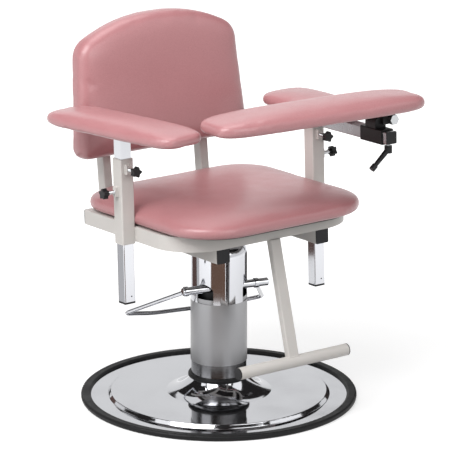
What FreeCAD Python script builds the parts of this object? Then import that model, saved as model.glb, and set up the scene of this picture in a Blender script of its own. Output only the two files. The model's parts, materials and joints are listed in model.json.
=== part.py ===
import FreeCAD, Part
import Sketcher
import math
import os

# Phlebotomy chair: a hydraulic column on a round base, a tube-framed seat, two
# arm pads on telescopic posts and a padded flip arm on the sitter's left side.
# Millimetres, +Z up, the chair faces -Y, origin under the base on the column axis.

# Driving sizes: alias, value, what it is
TABLE = [
    ("air", 0.3, "gap between pieces that move past each other"),
    ("overrun", 5, "how far a cutting shape passes the face that it cuts"),
    # attitude
    ("seat_tilt", 2.3, "degrees that the seat frame leans back on the column"),
    ("pivot_drop", 28, "depth of the point that the seat frame leans about, under the cover's top"),
    ("pump_turn", 12.5, "degrees that the pump is turned clockwise from the seat"),
    # base
    ("ring_radius", 359, "outer radius of the rubber floor ring"),
    ("ring_width", 26, "width of the rubber floor ring"),
    ("ring_lip", 6.5, "how far the rubber ring stands above the base's flange"),
    ("groove_depth", 12, "how deep the base plate sits in the ring"),
    ("sheet_wall", 2.5, "sheet thickness of the spun base"),
    ("plate_height", 6, "thickness of the ballast plate"),
    ("plate_gap", 11, "gap from the ballast plate's edge to the rubber ring"),
    ("flange_width", 44, "width of the base's flange between the ring and the pressed step"),
    ("step_run", 9, "width of the pressed step's slope"),
    ("step_rise", 10, "rise of the raised middle above the flange"),
    ("step_round", 4, "radius of the pressed step"),
    ("hub_lip", 3.5, "how far the trumpet cover's neck stands out from the column"),
    ("hub_spread", 60, "how far the trumpet cover spreads from its neck to its foot"),
    ("hub_rise", 38, "height of the trumpet cover"),
    ("hub_sag", 7, "how far the trumpet's side is hollowed"),
    ("hub_wall", 2, "wall of the trumpet cover"),
    ("bumper_lip", 3, "how far the rubber bumper ring stands out from the trumpet's neck"),
    ("bumper_height", 10, "height of the rubber bumper ring"),
    ("bumper_round", 3.5, "radius of the bumper ring's outer edges"),
    # column
    ("column_radius", 73.5, "outer radius of the column covers"),
    ("cover_wall", 1.2, "wall of the column covers"),
    ("shroud_gap", 0.5, "gap between the fixed shroud and the covers"),
    ("shroud_lap", 12, "how far the fixed shroud reaches above the covers' seam, pump down"),
    ("cover_gap", 36.5, "height of the satin cover's foot above the bumper ring, pump down"),
    ("satin_height", 165, "height of the satin cover"),
    ("polished_height", 160, "height of the polished cover"),
    ("cover_round", 38, "shoulder radius of the polished cover"),
    ("cover_mouth", 26, "radius of the hole in the polished cover's top"),
    ("window_width", 38, "width of the pedal window"),
    ("window_room", 2, "room over the pedal shaft in its window"),
    ("rod_radius", 25, "radius of the fixed piston rod"),
    ("rod_lap", 16, "how far the piston rod reaches into the pump head"),
    ("running", 0.05, "radial clearance of a running fit"),
    ("pump_radius", 58, "radius of the pump cylinder"),
    ("pump_inset", 19, "height of the pump cylinder's foot above the covers' foot"),
    ("head_height", 78, "height of the pump head, with the cover over it"),
    ("rod_room", 4, "oil space over the piston rod"),
    # pedal
    ("shaft_radius", 10.5, "radius of the pedal shaft"),
    ("shaft_rise", 40.5, "height of the pedal shaft above the covers' seam"),
    ("shaft_offset", 42, "how far the shaft passes in front of the column axis"),
    ("shaft_stub", 45.5, "how far the pedal shaft stands out of the column on each side"),
    ("shaft_chamfer", 1.5, "chamfer of the pedal shaft's ends"),
    ("bar_radius", 5.6, "radius of the bent pedal bar"),
    ("bar_inset_left", 10, "distance of the bar's left end from the shaft's end"),
    ("bar_inset_right", 33, "distance of the bar's right end from the shaft's end"),
    ("bar_reach", 188, "distance from the shaft to the bar's corners"),
    ("bar_bow", 42, "how far the foot rail bows out beyond its corners"),
    ("bar_corner_left", 216, "left corner of the pedal bar"),
    ("bar_corner_right", 176, "right corner of the pedal bar"),
    ("bar_bend", 16, "bend radius at the bar's corners"),
    ("bar_sweep", 110, "bend radius of the bowed foot rail"),
    ("bar_drop", 30, "degrees that the pedal bar slopes down at rest"),
    ("collar_lip", 2.5, "how far the collars stand out from the pedal shaft"),
    ("collar_length", 9, "length of the collars on the pedal shaft"),
    # swivel
    ("spindle_radius", 19, "radius of the swivel spindle"),
    ("spindle_gap", 12, "distance from the piston rod's top to the swivel spindle"),
    ("seat_gap", 18, "height of the swivel plate's underside above the polished cover"),
    ("swivel_thick", 8, "thickness of the swivel plate"),
    ("swivel_half_depth", 90, "half depth of the swivel plate"),
    ("flange_radius", 50, "radius of the spindle flange"),
    ("flange_thick", 6, "thickness of the spindle flange"),
    ("bolt_circle", 38, "radius of the flange bolt circle"),
    ("bolt_radius", 4, "radius of the flange bolts"),
    ("bolt_head", 6.5, "radius of the flange bolt heads"),
    ("bolt_head_height", 5, "height of the flange bolt heads"),
    # frame tube stock
    ("stock", 38.1, "side of the square frame tube"),
    ("stock_wall", 2, "wall of the square frame tube"),
    ("stock_round", 3.2, "outer corner radius of the square frame tube"),
    ("slim_stock", 25.4, "narrow side of the seat rail tube"),
    ("plug_lip", 2.6, "thickness of a tube plug's head"),
    ("plug_depth", 14, "how deep a tube plug reaches into its tube"),
    # under-seat rails
    ("rail_place", 154, "distance of each under-seat rail from the middle"),
    ("rail_drop", 11.2, "how far the rails' underside lies under the swivel plate's"),
    ("rail_set_in", 9, "distance of the rails' front ends behind the frame's front"),
    ("rail_tail", 39, "how far the rails reach behind the uprights' front faces"),
    # seat frame
    ("frame_set_in", 79, "distance of the frame's front behind the seat cushion's"),
    ("frame_set_off", 54, "distance of the frame's rear ends before the seat cushion's rear"),
    ("frame_bend", 122, "outer bend radius of the frame's front corners"),
    ("cross_set_in", 66, "distance of the rear cross tube's middle from the frame's rear ends"),
    # seat
    ("board_thick", 12, "thickness of the plywood boards"),
    ("board_inset", 24, "how far a board lies inside its cushion's outline"),
    ("seat_lift", 3, "gap from the frame to the seat cushion's lip"),
    ("sleeve_gap", 0.35, "gap from the seat cushion to the post sleeves"),
    ("seat_front", 325, "where the seat cushion's front lies"),
    ("seat_rear", 250, "where the seat cushion's rear lies"),
    ("seat_front_round", 140, "radius of the seat cushion's front corners"),
    ("seat_rear_round", 115, "radius of the seat cushion's rear corners"),
    ("seat_thick", 52, "height of the seat cushion at its crown"),
    ("crown_reach", 160, "distance from the edge over which the big cushions swell"),
    ("screw_head", 6, "radius of the wood screws' heads"),
    ("screw_head_height", 2.6, "height of the wood screws' heads"),
    # back
    ("recline", 4.1, "degrees that the back leans beyond the seat frame"),
    ("upright_gap", 17, "distance of the uprights' front faces behind the seat cushion"),
    ("upright_width", 25.4, "width of the uprights"),
    ("upright_depth", 31.75, "depth of the uprights"),
    ("upright_length", 400, "length of the uprights"),
    ("back_lift", 5, "gap from the uprights to the back cushion's lip"),
    ("back_foot", 147.5, "height of the back cushion's foot above the rails"),
    ("back_half_top", 249, "half width of the back at its shoulders"),
    ("back_flare", 23, "how far the back's foot reaches out beyond its shoulders"),
    ("back_shoulder", 317, "height of the back's shoulders above its foot"),
    ("back_pitch", 15.915, "degrees that the back's top slopes up to its middle"),
    ("back_foot_round", 34, "radius of the back's lower corners"),
    ("back_shoulder_round", 62, "radius of the back's shoulders"),
    ("arch_set_in", 133.8, "distance from the back's shoulders to where its arched top begins"),
    ("back_thick", 66, "thickness of the back cushion at its crown"),
    ("back_reach", 120, "distance from the edge over which the back cushion swells"),
    # arm posts
    ("post_place", 299, "distance of the arm posts from the middle"),
    ("post_line", 17.4, "how far in front of the column axis the posts stand"),
    ("sleeve_drop", 4.5, "how far the post sleeves reach below the seat frame"),
    ("sleeve_length", 220, "length of the post sleeves"),
    ("sleeve_wall", 2.87, "wall of the post sleeves"),
    ("tube_side", 31.75, "side of the square post tubes"),
    ("tube_wall", 2, "wall of the square post tubes"),
    ("tube_round", 2.6, "outer corner radius of the square post tubes"),
    ("tube_length", 431, "length of the post tubes"),
    ("end_lip", 5, "thickness of the post tubes' plug heads"),
    ("plain_rise", 60.4, "how far the plain arm's tube stands out of its sleeve"),
    ("flip_rise", 0.8, "gap from the sleeve on the flip side to the flip rail"),
    ("pin_hole", 2, "radius of the stop pin near the tube's lower end"),
    # arm pads
    ("pad_half_width", 79, "half width of an arm pad"),
    ("pad_half_length", 244, "half length of the plain arm's pad"),
    ("short_half_length", 164, "half length of the flip side's fixed pad"),
    ("pad_round", 68, "corner radius of an arm pad"),
    ("pad_thick", 42, "height of an arm pad at its crown"),
    ("short_thick", 41, "height of the flip side's fixed pad at its crown"),
    ("pad_yaw", 7.6, "degrees that the plain arm's pad is toed in"),
    ("plate_thick", 3, "thickness of the pad plates"),
    ("plate_half_width", 38, "half width of the pad plates"),
    ("plate_half_length", 75, "half length of the pad plates"),
    # flip rail
    ("rail_reach", 342, "where the flip rail's front end lies, before the column axis"),
    ("rail_back", 12, "where the flip rail's rear end lies"),
    # carriage and hinge
    ("carriage_set_in", 15.5, "distance of the carriage's front from the flip rail's end"),
    ("carriage_length", 87, "length of the carriage"),
    ("barrel_radius", 17, "radius of the hinge barrel"),
    ("barrel_rise", 12, "height of the barrel's axis above the carriage"),
    ("barrel_set_in", 27.5, "distance of the hinge barrel's front face from the carriage's front"),
    ("barrel_length", 41, "length of the hinge barrel"),
    ("hinge_offset", 27, "distance of the flip hinge outward from the post"),
    ("hinge_rise", 20.375, "height of the flip hinge above the carriage"),
    ("hinge_bolt", 6, "radius of the hinge bolt"),
    ("lug_radius", 11.8, "radius of the hinge lugs"),
    ("ear_thick", 9, "thickness of the moving hinge ears"),
    ("ear_reach", 25, "how far the moving hinge ears reach inward from the hinge"),
    ("leaf_rise", 25.9, "height of the hinge leaf above the hinge"),
    ("leaf_thick", 5, "thickness of the hinge leaf under the flip pad"),
    ("leaf_reach_in", 64, "how far the hinge leaf reaches inward from the hinge"),
    ("leaf_reach_out", 62, "how far the hinge leaf reaches outward from the hinge"),
    ("leaf_half_depth", 46, "half depth of the hinge leaf"),
    ("bolt_hex", 12, "half width across flats of the hinge nut and bolt head"),
    ("nut_height", 13, "height of the hinge nut"),
    ("washer_thick", 2.5, "thickness of the hinge washers"),
    # flip pad
    ("flip_reach_out", 70, "how far the flip pad reaches outward from the hinge"),
    ("flip_gap", 4, "distance along X from the plain arm's pad to the flip pad"),
    ("flip_set_in", 26.5, "distance of the flip pad's middle line behind the carriage's front"),
    ("flip_half_width", 87, "half width of the flip pad"),
    ("flip_thick", 46, "height of the flip pad at its crown"),
    ("flip_round", 80, "corner radius of the flip pad"),
    ("flip_yaw", 4.5, "degrees that the flip pad is turned"),
    # clamp lever
    ("lever_offset", 8.5, "distance of the clamp lever outward from the post"),
    ("lever_set_in", 7.5, "distance of the clamp lever behind the carriage's front"),
    ("lever_hub", 10, "radius of the clamp lever's hub"),
    ("lever_hub_height", 19, "height of the clamp lever's hub"),
    ("lever_stud", 4, "radius of the clamp lever's stud"),
    ("lever_drop", 6, "bare stud between carriage and hub"),
    ("lever_length", 70, "length of the clamp lever's arm"),
    ("lever_slope", 40, "degrees that the lever's arm slopes down"),
    ("lever_root", 7.2, "radius of the lever's arm at its root"),
    ("lever_neck", 5.8, "radius of the lever's arm at its neck"),
    ("lever_grip", 8, "radius of the lever's thickened end"),
    ("lever_grip_length", 15, "length of the lever's thickened end"),
    # star knobs
    ("knob_tip", 17, "radius of the star knob's tips"),
    ("knob_valley", 9.6, "radius of the star knob's valleys"),
    ("knob_thick", 13, "thickness of the star knob"),
    ("knob_hub", 7.5, "radius of the star knob's hub"),
    ("knob_hub_length", 5, "length of the star knob's hub"),
    ("knob_tip_round", 3.2, "radius that rounds the tips"),
    ("knob_valley_round", 2.6, "radius that rounds the valleys"),
    ("knob_stud", 4, "radius of the knob's stud"),
    ("knob_reach", 33, "distance from the sleeve to the knob's star"),
    ("front_knob_drop", 26, "distance of the front knobs under the sleeves' tops"),
    ("side_knob_drop", 83.4, "distance of the side knobs under the sleeves' tops"),
    ("weld_nut", 7, "half width of the welded nuts"),
    ("weld_nut_height", 12, "half height of the welded nuts"),
    ("weld_nut_thick", 9, "thickness of the welded nuts"),
    # footrest
    ("foot_width", 31.75, "width of the footrest's down tube"),
    ("foot_depth", 19, "depth of the footrest's down tube"),
    ("foot_lean", 13.4, "degrees that the down tube slopes forward"),
    ("foot_length", 318, "length of the footrest's down tube"),
    ("foot_set_in", 10.5, "distance of the down tube's middle behind the frame's front"),
    ("bar_tube", 15.5, "radius of the footrest's cross bar"),
    ("bar_half", 168, "half length of the footrest's cross bar"),
    ("bar_wall", 2, "wall of the footrest's cross bar"),
]


class Size:
    """A length or an angle: its value and the expression that gives it."""

    def __init__(self, text, value):
        self.text = text
        self.value = float(value)

    def __add__(self, other):
        return Size("(%s + %s)" % (self.text, text_of(other)), self.value + value_of(other))

    def __radd__(self, other):
        return self + other

    def __sub__(self, other):
        return Size("(%s - %s)" % (self.text, text_of(other)), self.value - value_of(other))

    def __rsub__(self, other):
        return -self + other

    def __mul__(self, other):
        return Size("(%s * %s)" % (self.text, text_of(other)), self.value * value_of(other))

    def __rmul__(self, other):
        return self * other

    def __truediv__(self, other):
        return Size("(%s / %s)" % (self.text, text_of(other)), self.value / value_of(other))

    def __neg__(self):
        return Size("(0 - %s)" % self.text, -self.value)


def text_of(amount):
    return amount.text if isinstance(amount, Size) else repr(amount)


def value_of(amount):
    return amount.value if isinstance(amount, Size) else float(amount)


def sine(angle):
    return Size("sin(%s * 1deg)" % angle.text, math.sin(math.radians(angle.value)))


def cosine(angle):
    return Size("cos(%s * 1deg)" % angle.text, math.cos(math.radians(angle.value)))


class Sizes:
    """The sheet's sizes by name."""


doc = FreeCAD.newDocument("phlebotomy_chair")
sheet = doc.addObject("Spreadsheet::Sheet", "Sizes")
s = Sizes()
for row, (alias, amount, meaning) in enumerate(TABLE, start=1):
    sheet.set("A%d" % row, alias)
    sheet.set("B%d" % row, str(amount))
    sheet.set("C%d" % row, meaning)
    sheet.setAlias("B%d" % row, alias)
    setattr(s, alias, Size("Sizes." + alias, amount))
doc.recompute()

HALF = 0.5
QUARTER_TURN = 90

# Derived places of the base and the column, from the floor up
ring_round_share = 0.92
ring_inner = s.ring_radius - s.ring_width
flange_top = s.plate_height + s.sheet_wall
ring_height = flange_top + s.ring_lip
ring_round = s.ring_lip * ring_round_share
step_foot = ring_inner - s.flange_width
step_top = step_foot - s.step_run
plateau_top = flange_top + s.step_rise
hub_top = s.column_radius + s.hub_lip
hub_foot = hub_top + s.hub_spread
hub_rim = plateau_top + s.hub_rise
bumper_radius = hub_top + s.bumper_lip
bumper_top = hub_rim + s.bumper_height
cover_inner = s.column_radius - s.cover_wall
shroud_radius = cover_inner - s.shroud_gap
cover_foot = bumper_top + s.cover_gap
cover_seam = cover_foot + s.satin_height
cover_top = cover_seam + s.polished_height
shroud_top = cover_seam + s.shroud_lap
head_foot = cover_top - s.head_height
rod_top = head_foot + s.rod_lap
pump_foot = cover_foot + s.pump_inset
shaft_height = cover_seam + s.shaft_rise
shaft_half = s.column_radius + s.shaft_stub
bar_left = shaft_half - s.bar_inset_left
bar_right = shaft_half - s.bar_inset_right
collar_radius = s.shaft_radius + s.collar_lip
spindle_foot = rod_top + s.spindle_gap
tilt_height = cover_top - s.pivot_drop

# Derived places of the seat, the back and the arms
plate_level = cover_top + s.seat_gap
rail_foot = plate_level - s.rail_drop
frame_foot = rail_foot + s.stock
frame_top = frame_foot + s.stock
frame_half = s.post_place - s.stock / 2
frame_front = s.seat_front - s.frame_set_in
frame_rear = s.seat_rear - s.frame_set_off
cross_place = frame_rear - s.cross_set_in
seat_half = frame_half - s.sleeve_gap
seat_foot = frame_top + s.seat_lift
upright_front = s.seat_rear + s.upright_gap
rail_front = frame_front - s.rail_set_in
rail_rear = upright_front + s.rail_tail
foot_line = frame_front - s.foot_set_in
back_half_foot = s.back_half_top + s.back_flare
back_arch = (s.back_half_top - s.arch_set_in) / sine(s.back_pitch)
back_height = s.back_shoulder + s.back_half_top * sine(s.back_pitch) / cosine(s.back_pitch)
sleeve_foot = frame_foot - s.sleeve_drop
sleeve_top = sleeve_foot + s.sleeve_length
front_knob = sleeve_top - s.front_knob_drop
side_knob = sleeve_top - s.side_knob_drop
plain_top = sleeve_top + s.plain_rise
plain_pad_foot = plain_top + s.plate_thick
flip_rail_foot = sleeve_top + s.flip_rise
flip_rail_middle = flip_rail_foot + s.tube_side / 2
flip_rail_top = flip_rail_foot + s.tube_side
short_pad_foot = flip_rail_top + s.plate_thick

# Derived places of the carriage, the hinge and the flip pad
carriage_front = s.rail_reach - s.carriage_set_in
carriage_top = flip_rail_middle + s.stock / 2
carriage_foot = flip_rail_middle - s.stock / 2
barrel_front = carriage_front - s.barrel_set_in
barrel_rear = barrel_front - s.barrel_length
hinge_place = s.post_place + s.hinge_offset
hinge_height = carriage_top + s.hinge_rise
leaf_foot = hinge_height + s.leaf_rise
flip_foot = leaf_foot + s.leaf_thick
flip_outer = hinge_place + s.flip_reach_out
flip_inner = s.pad_half_width + s.flip_gap - s.post_place
flip_middle = (flip_outer + flip_inner) / 2
flip_half_length = (flip_outer - flip_inner) / 2
flip_line = carriage_front - s.flip_set_in
lever_place = s.post_place + s.lever_offset
lever_line = carriage_front - s.lever_set_in

# Frames of reference, each a placement bound to the sheet

ACROSS_X = "rotation(vector(0;1;0);90)"
ACROSS_Y = "rotation(vector(1;0;0);-90)"
UPRIGHT = "rotation(vector(0;0;1);0)"


def spot(x, y, z, turn=UPRIGHT):
    """The text of a placement at x, y, z with a rotation."""
    return "placement(vector(%s;%s;%s);%s)" % (text_of(x), text_of(y), text_of(z), turn)


def turned(axis, angle):
    return "rotation(vector(%s);%s)" % (axis, text_of(angle))


def reference(name, text):
    frame = doc.addObject("App::FeaturePython", name)
    frame.addProperty("App::PropertyPlacement", "Placement")
    frame.setExpression("Placement", text)
    return name + ".Placement"


BASE = ""
UPPER = reference("Upper", spot(0, 0, tilt_height, turned("1;0;0", -s.seat_tilt))
                  + "*" + spot(0, 0, -tilt_height))
PUMP = reference("Pump", spot(0, 0, 0, turned("0;0;1", -s.pump_turn)))
BACK = reference("Back", spot(0, upright_front, frame_foot, turned("1;0;0", -s.recline)))
LOOP = reference("Loop", spot(0, -s.shaft_offset, shaft_height, turned("1;0;0", -s.bar_drop)))

PARTS = []


def seat(thing, *frames):
    """Bind a piece's placement to the product of frames."""
    text = "*".join(frame for frame in frames if frame)
    if text:
        thing.setExpression("Placement", text)
    return thing


def keep(thing, label, *frames):
    """Give a finished piece its label and its frames, and list it as a sub-part."""
    thing.Label = label
    seat(thing, *frames)
    PARTS.append(thing)
    return thing


def box(name, length, width, height, at):
    solid = doc.addObject("Part::Box", name)
    solid.setExpression("Length", text_of(length))
    solid.setExpression("Width", text_of(width))
    solid.setExpression("Height", text_of(height))
    return seat(solid, at)


def rod(name, radius, length, at):
    solid = doc.addObject("Part::Cylinder", name)
    solid.setExpression("Radius", text_of(radius))
    solid.setExpression("Height", text_of(length))
    return seat(solid, at)


def cone(name, radius, far_radius, length, at):
    solid = doc.addObject("Part::Cone", name)
    solid.setExpression("Radius1", text_of(radius))
    solid.setExpression("Radius2", text_of(far_radius))
    solid.setExpression("Height", text_of(length))
    return seat(solid, at)


def hexagon(name, half_flats, length, at):
    solid = doc.addObject("Part::Prism", name)
    solid.Polygon = 6
    solid.setExpression("Circumradius", text_of(half_flats / HALF / math.sqrt(3)))
    solid.setExpression("Height", text_of(length))
    return seat(solid, at)


def fuse(name, *solids):
    joined = doc.addObject("Part::MultiFuse", name)
    joined.Shapes = list(solids)
    joined.Refine = True
    return joined


def cut(name, base, *tools):
    taken = doc.addObject("Part::Cut", name)
    taken.Base = base
    taken.Tool = tools[0] if len(tools) == 1 else fuse(name + "_tools", *tools)
    taken.Refine = True
    return taken


def group(name, solids):
    """A group of separate like solids in one node."""
    held = doc.addObject("Part::Compound", name)
    held.Links = list(solids)
    return held


def arc_middle(start, end, radius, side):
    """The middle of the arc from start to end; side 1 bulges to the left."""
    chord_x, chord_y = end[0] - start[0], end[1] - start[1]
    chord = math.hypot(chord_x, chord_y)
    rise = radius - math.sqrt(max(radius * radius - chord * chord / 4, 0))
    middle_x, middle_y = (start[0] + end[0]) / 2, (start[1] + end[1]) / 2
    return (middle_x - side * chord_y / chord * rise, middle_y + side * chord_x / chord * rise)


def sketched(body, name, role, loops):
    """A sketch of closed loops; a corner is (x, y) or (x, y, radius, side), and
    the last two give the arc to the next corner."""
    sketch = body.newObject("Sketcher::SketchObject", name)
    plane = [item for item in body.Origin.OriginFeatures if item.Role == role][0]
    sketch.AttachmentSupport = [(plane, "")]
    sketch.MapMode = "FlatFace"
    for corners in loops:
        first = sketch.GeometryCount
        spots = [(value_of(corner[0]), value_of(corner[1])) for corner in corners]
        ends = []
        for here, corner in enumerate(corners):
            start, end = spots[here], spots[(here + 1) % len(spots)]
            a = FreeCAD.Vector(start[0], start[1], 0)
            b = FreeCAD.Vector(end[0], end[1], 0)
            if len(corner) == 2:
                sketch.addGeometry(Part.LineSegment(a, b), False)
                ends.append((1, 2))
                continue
            middle = arc_middle(start, end, value_of(corner[2]), corner[3])
            arc = Part.Arc(a, FreeCAD.Vector(middle[0], middle[1], 0), b)
            number = sketch.addGeometry(arc, False)
            forward = (sketch.getPoint(number, 1) - a).Length < (sketch.getPoint(number, 1) - b).Length
            ends.append((1, 2) if forward else (2, 1))
        for here, corner in enumerate(corners):
            edge, before = first + here, first + (here - 1) % len(corners)
            sketch.addConstraint(Sketcher.Constraint(
                "Coincident", before, ends[here - 1][1], edge, ends[here][0]))
            for kind, amount in (("DistanceX", corner[0]), ("DistanceY", corner[1])):
                number = sketch.addConstraint(Sketcher.Constraint(
                    kind, -1, 1, edge, ends[here][0], value_of(amount)))
                if isinstance(amount, Size):
                    sketch.setExpression("Constraints[%d]" % number, amount.text)
            if len(corner) > 2:
                number = sketch.addConstraint(Sketcher.Constraint(
                    "Radius", edge, value_of(corner[2])))
                sketch.setExpression("Constraints[%d]" % number, text_of(corner[2]))
    return sketch


def rounded_box_loop(half_x, half_y, radius):
    """A rectangle about the origin with rounded corners, as corners for sketched."""
    x, y = half_x - radius, half_y - radius
    return [(-x, -half_y), (x, -half_y, radius, -1), (half_x, -y), (half_x, y, radius, -1),
            (x, half_y), (-x, half_y, radius, -1), (-half_x, y), (-half_x, -y, radius, -1)]


def padded_body(name, loops, height):
    """A PartDesign body: loops on the XY plane, padded up by height."""
    body = doc.addObject("PartDesign::Body", name + "_body")
    sketch = sketched(body, name + "_sketch", "XY_Plane", loops)
    pad = body.newObject("PartDesign::Pad", name + "_pad")
    pad.Profile = sketch
    pad.setExpression("Length", text_of(height))
    sketch.Visibility = False
    return body


def revolved_body(name, loops):
    """A PartDesign body: loops on the XZ plane, revolved about the Z axis."""
    body = doc.addObject("PartDesign::Body", name + "_body")
    sketch = sketched(body, name + "_sketch", "XZ_Plane", loops)
    turn = body.newObject("PartDesign::Revolution", name + "_turn")
    turn.Profile = sketch
    turn.ReferenceAxis = (sketch, ["V_Axis"])
    turn.Angle = 360
    return body


def tube_body(name, width, depth, wall, corner, length):
    """A square or rectangular tube along +Z about the origin."""
    outer = rounded_box_loop(width / 2, depth / 2, corner)
    inner = rounded_box_loop(width / 2 - wall, depth / 2 - wall, corner - wall)
    return padded_body(name, [outer, inner], length)


def plug_body(name, width, depth, wall, corner, lip=s.plug_lip):
    """A tube plug: a head on the tube's end and a stem inside; +Z points in."""
    head = padded_body(name + "_head", [rounded_box_loop(width / 2, depth / 2, corner)], lip)
    seat(head, spot(0, 0, -lip))
    stem_x, stem_y = width / 2 - wall - s.air, depth / 2 - wall - s.air
    stem = padded_body(name + "_stem", [rounded_box_loop(stem_x, stem_y, corner - wall)], s.plug_depth)
    return fuse(name, head, stem)


# Base: ballast plate, spun disc, rubber ring, trumpet cover, bumper, shroud, piston rod

keep(rod("ballast", ring_inner - s.plate_gap, s.plate_height, spot(0, 0, 0)), "ballast_plate")

disc_edge = ring_inner + s.groove_depth
disc_hole = s.rod_radius + s.air
step_middle = (step_foot + step_top) / 2
disc = revolved_body("disc", [[
    (disc_hole, plateau_top - s.sheet_wall),
    (step_top - s.sheet_wall, plateau_top - s.sheet_wall),
    (step_middle - s.sheet_wall, s.plate_height + s.step_rise / 2),
    (step_foot - s.sheet_wall, s.plate_height),
    (disc_edge, s.plate_height),
    (disc_edge, flange_top),
    (step_foot, flange_top, s.step_round, 1),
    (step_foot - s.step_round * HALF, flange_top + s.step_round * HALF),
    (step_top + s.step_round * HALF, plateau_top - s.step_round * HALF, s.step_round, -1),
    (step_top, plateau_top),
    (disc_hole, plateau_top),
]])
keep(disc, "base_disc")

ring = revolved_body("ring", [[
    (ring_inner, 0),
    (s.ring_radius - ring_round, 0, ring_round, -1),
    (s.ring_radius, ring_round),
    (s.ring_radius, ring_height - ring_round, ring_round, -1),
    (s.ring_radius - ring_round, ring_height),
    (ring_inner + ring_round, ring_height, ring_round, -1),
    (ring_inner, ring_height - ring_round),
    (ring_inner, flange_top),
    (disc_edge, flange_top),
    (disc_edge, s.plate_height),
    (ring_inner, s.plate_height),
]])
keep(ring, "base_ring")

hub_bow = ((hub_foot - hub_top) * (hub_foot - hub_top) + s.hub_rise * s.hub_rise) / (8 * s.hub_sag)
neck_inner = shroud_radius + s.air
hub = revolved_body("hub", [[
    (hub_foot - s.hub_wall, plateau_top),
    (hub_foot, plateau_top, hub_bow, 1),
    (hub_top, hub_rim),
    (neck_inner, hub_rim),
    (neck_inner, hub_rim - s.hub_wall),
    (hub_top - s.hub_wall, hub_rim - s.hub_wall, hub_bow, -1),
]])
keep(hub, "hub_cover")

bumper = revolved_body("bumper", [[
    (neck_inner, hub_rim),
    (bumper_radius - s.bumper_round, hub_rim, s.bumper_round, -1),
    (bumper_radius, hub_rim + s.bumper_round),
    (bumper_radius, bumper_top - s.bumper_round, s.bumper_round, -1),
    (bumper_radius - s.bumper_round, bumper_top),
    (neck_inner, bumper_top),
]])
keep(bumper, "column_bumper")

shroud = cut("shroud", rod("shroud_skin", shroud_radius, shroud_top - plateau_top, spot(0, 0, plateau_top)),
             rod("shroud_bore", shroud_radius - s.cover_wall, shroud_top, spot(0, 0, s.overrun)))
keep(shroud, "lower_shroud")

keep(rod("piston", s.rod_radius, rod_top - s.plate_height, spot(0, 0, s.plate_height)), "piston_rod")

# Pump unit: satin cover, polished cover with two pedal windows, pump body

satin = cut("satin", rod("satin_skin", s.column_radius, cover_seam - cover_foot, spot(0, 0, cover_foot)),
            rod("satin_bore", cover_inner, cover_seam, spot(0, 0, s.overrun)))
keep(satin, "satin_cover")

polished_skin = revolved_body("polished", [[
    (cover_inner, cover_seam),
    (s.column_radius, cover_seam),
    (s.column_radius, cover_top - s.cover_round, s.cover_round, -1),
    (s.column_radius - s.cover_round, cover_top),
    (s.cover_mouth, cover_top),
    (s.cover_mouth, cover_top - s.cover_wall),
    (s.column_radius - s.cover_round, cover_top - s.cover_wall, s.cover_round - s.cover_wall, 1),
    (cover_inner, cover_top - s.cover_round),
]])
window_arch = shaft_height + s.shaft_radius + s.window_room - s.window_width / 2
window_foot = cover_seam - s.overrun
window_box = box("window_box", s.column_radius * 2 + s.overrun * 2, s.window_width, window_arch - window_foot,
                 spot(-s.column_radius - s.overrun, -s.shaft_offset - s.window_width / 2, window_foot))
window_round = rod("window_round", s.window_width / 2, s.column_radius * 2 + s.overrun * 2,
                   spot(-s.column_radius - s.overrun, -s.shaft_offset, window_arch, ACROSS_X))
keep(cut("polished_cut", polished_skin, window_box, window_round), "polished_cover", PUMP)

pump_skin = rod("pump_skin", s.pump_radius, head_foot - pump_foot, spot(0, 0, pump_foot))
pump_head = rod("pump_head", cover_inner, cover_top - s.cover_wall - head_foot, spot(0, 0, head_foot))
head_bevel = cut("head_bevel", rod("bevel_block", s.column_radius, s.cover_round * 2,
                                   spot(0, 0, cover_top - s.cover_round * 2)),
                 cone("bevel_cone", cover_inner + s.cover_round, cover_inner - s.cover_round,
                      s.cover_round * 2, spot(0, 0, cover_top - s.cover_wall - s.cover_round * 2)))
rod_bore = rod("rod_bore", s.rod_radius + s.running, rod_top + s.rod_room - pump_foot + s.overrun,
               spot(0, 0, pump_foot - s.overrun))
spindle_bore = rod("spindle_bore", s.spindle_radius + s.running, cover_top - spindle_foot + s.overrun,
                   spot(0, 0, spindle_foot - s.air))
shaft_bore = rod("shaft_bore", s.shaft_radius + s.running, s.pump_radius * 2 + s.overrun,
                 spot(-s.pump_radius, -s.shaft_offset, shaft_height, ACROSS_X))
pump_solid = fuse("pump_solid", pump_skin, pump_head)
keep(cut("pump_cut", pump_solid, head_bevel, rod_bore, spindle_bore, shaft_bore), "pump_body", PUMP)

# Pedal: cross shaft with collars and one bent bar that loops behind the column

shaft_at = spot(-shaft_half, -s.shaft_offset, shaft_height, ACROSS_X)
shaft_core = rod("shaft_core", s.shaft_radius, shaft_half * 2 - s.shaft_chamfer * 2,
                 spot(-shaft_half + s.shaft_chamfer, -s.shaft_offset, shaft_height, ACROSS_X))
shaft_tips = []
for side, end in ((-1, "left"), (1, "right")):
    turn = turned("0;1;0", QUARTER_TURN * side)
    tip = cone("shaft_tip_" + end, s.shaft_radius, s.shaft_radius - s.shaft_chamfer, s.shaft_chamfer,
               spot((shaft_half - s.shaft_chamfer) * side, -s.shaft_offset, shaft_height, turn))
    shaft_tips.append(tip)
keep(fuse("shaft_solid", shaft_core, *shaft_tips), "pedal_shaft", PUMP)

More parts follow.
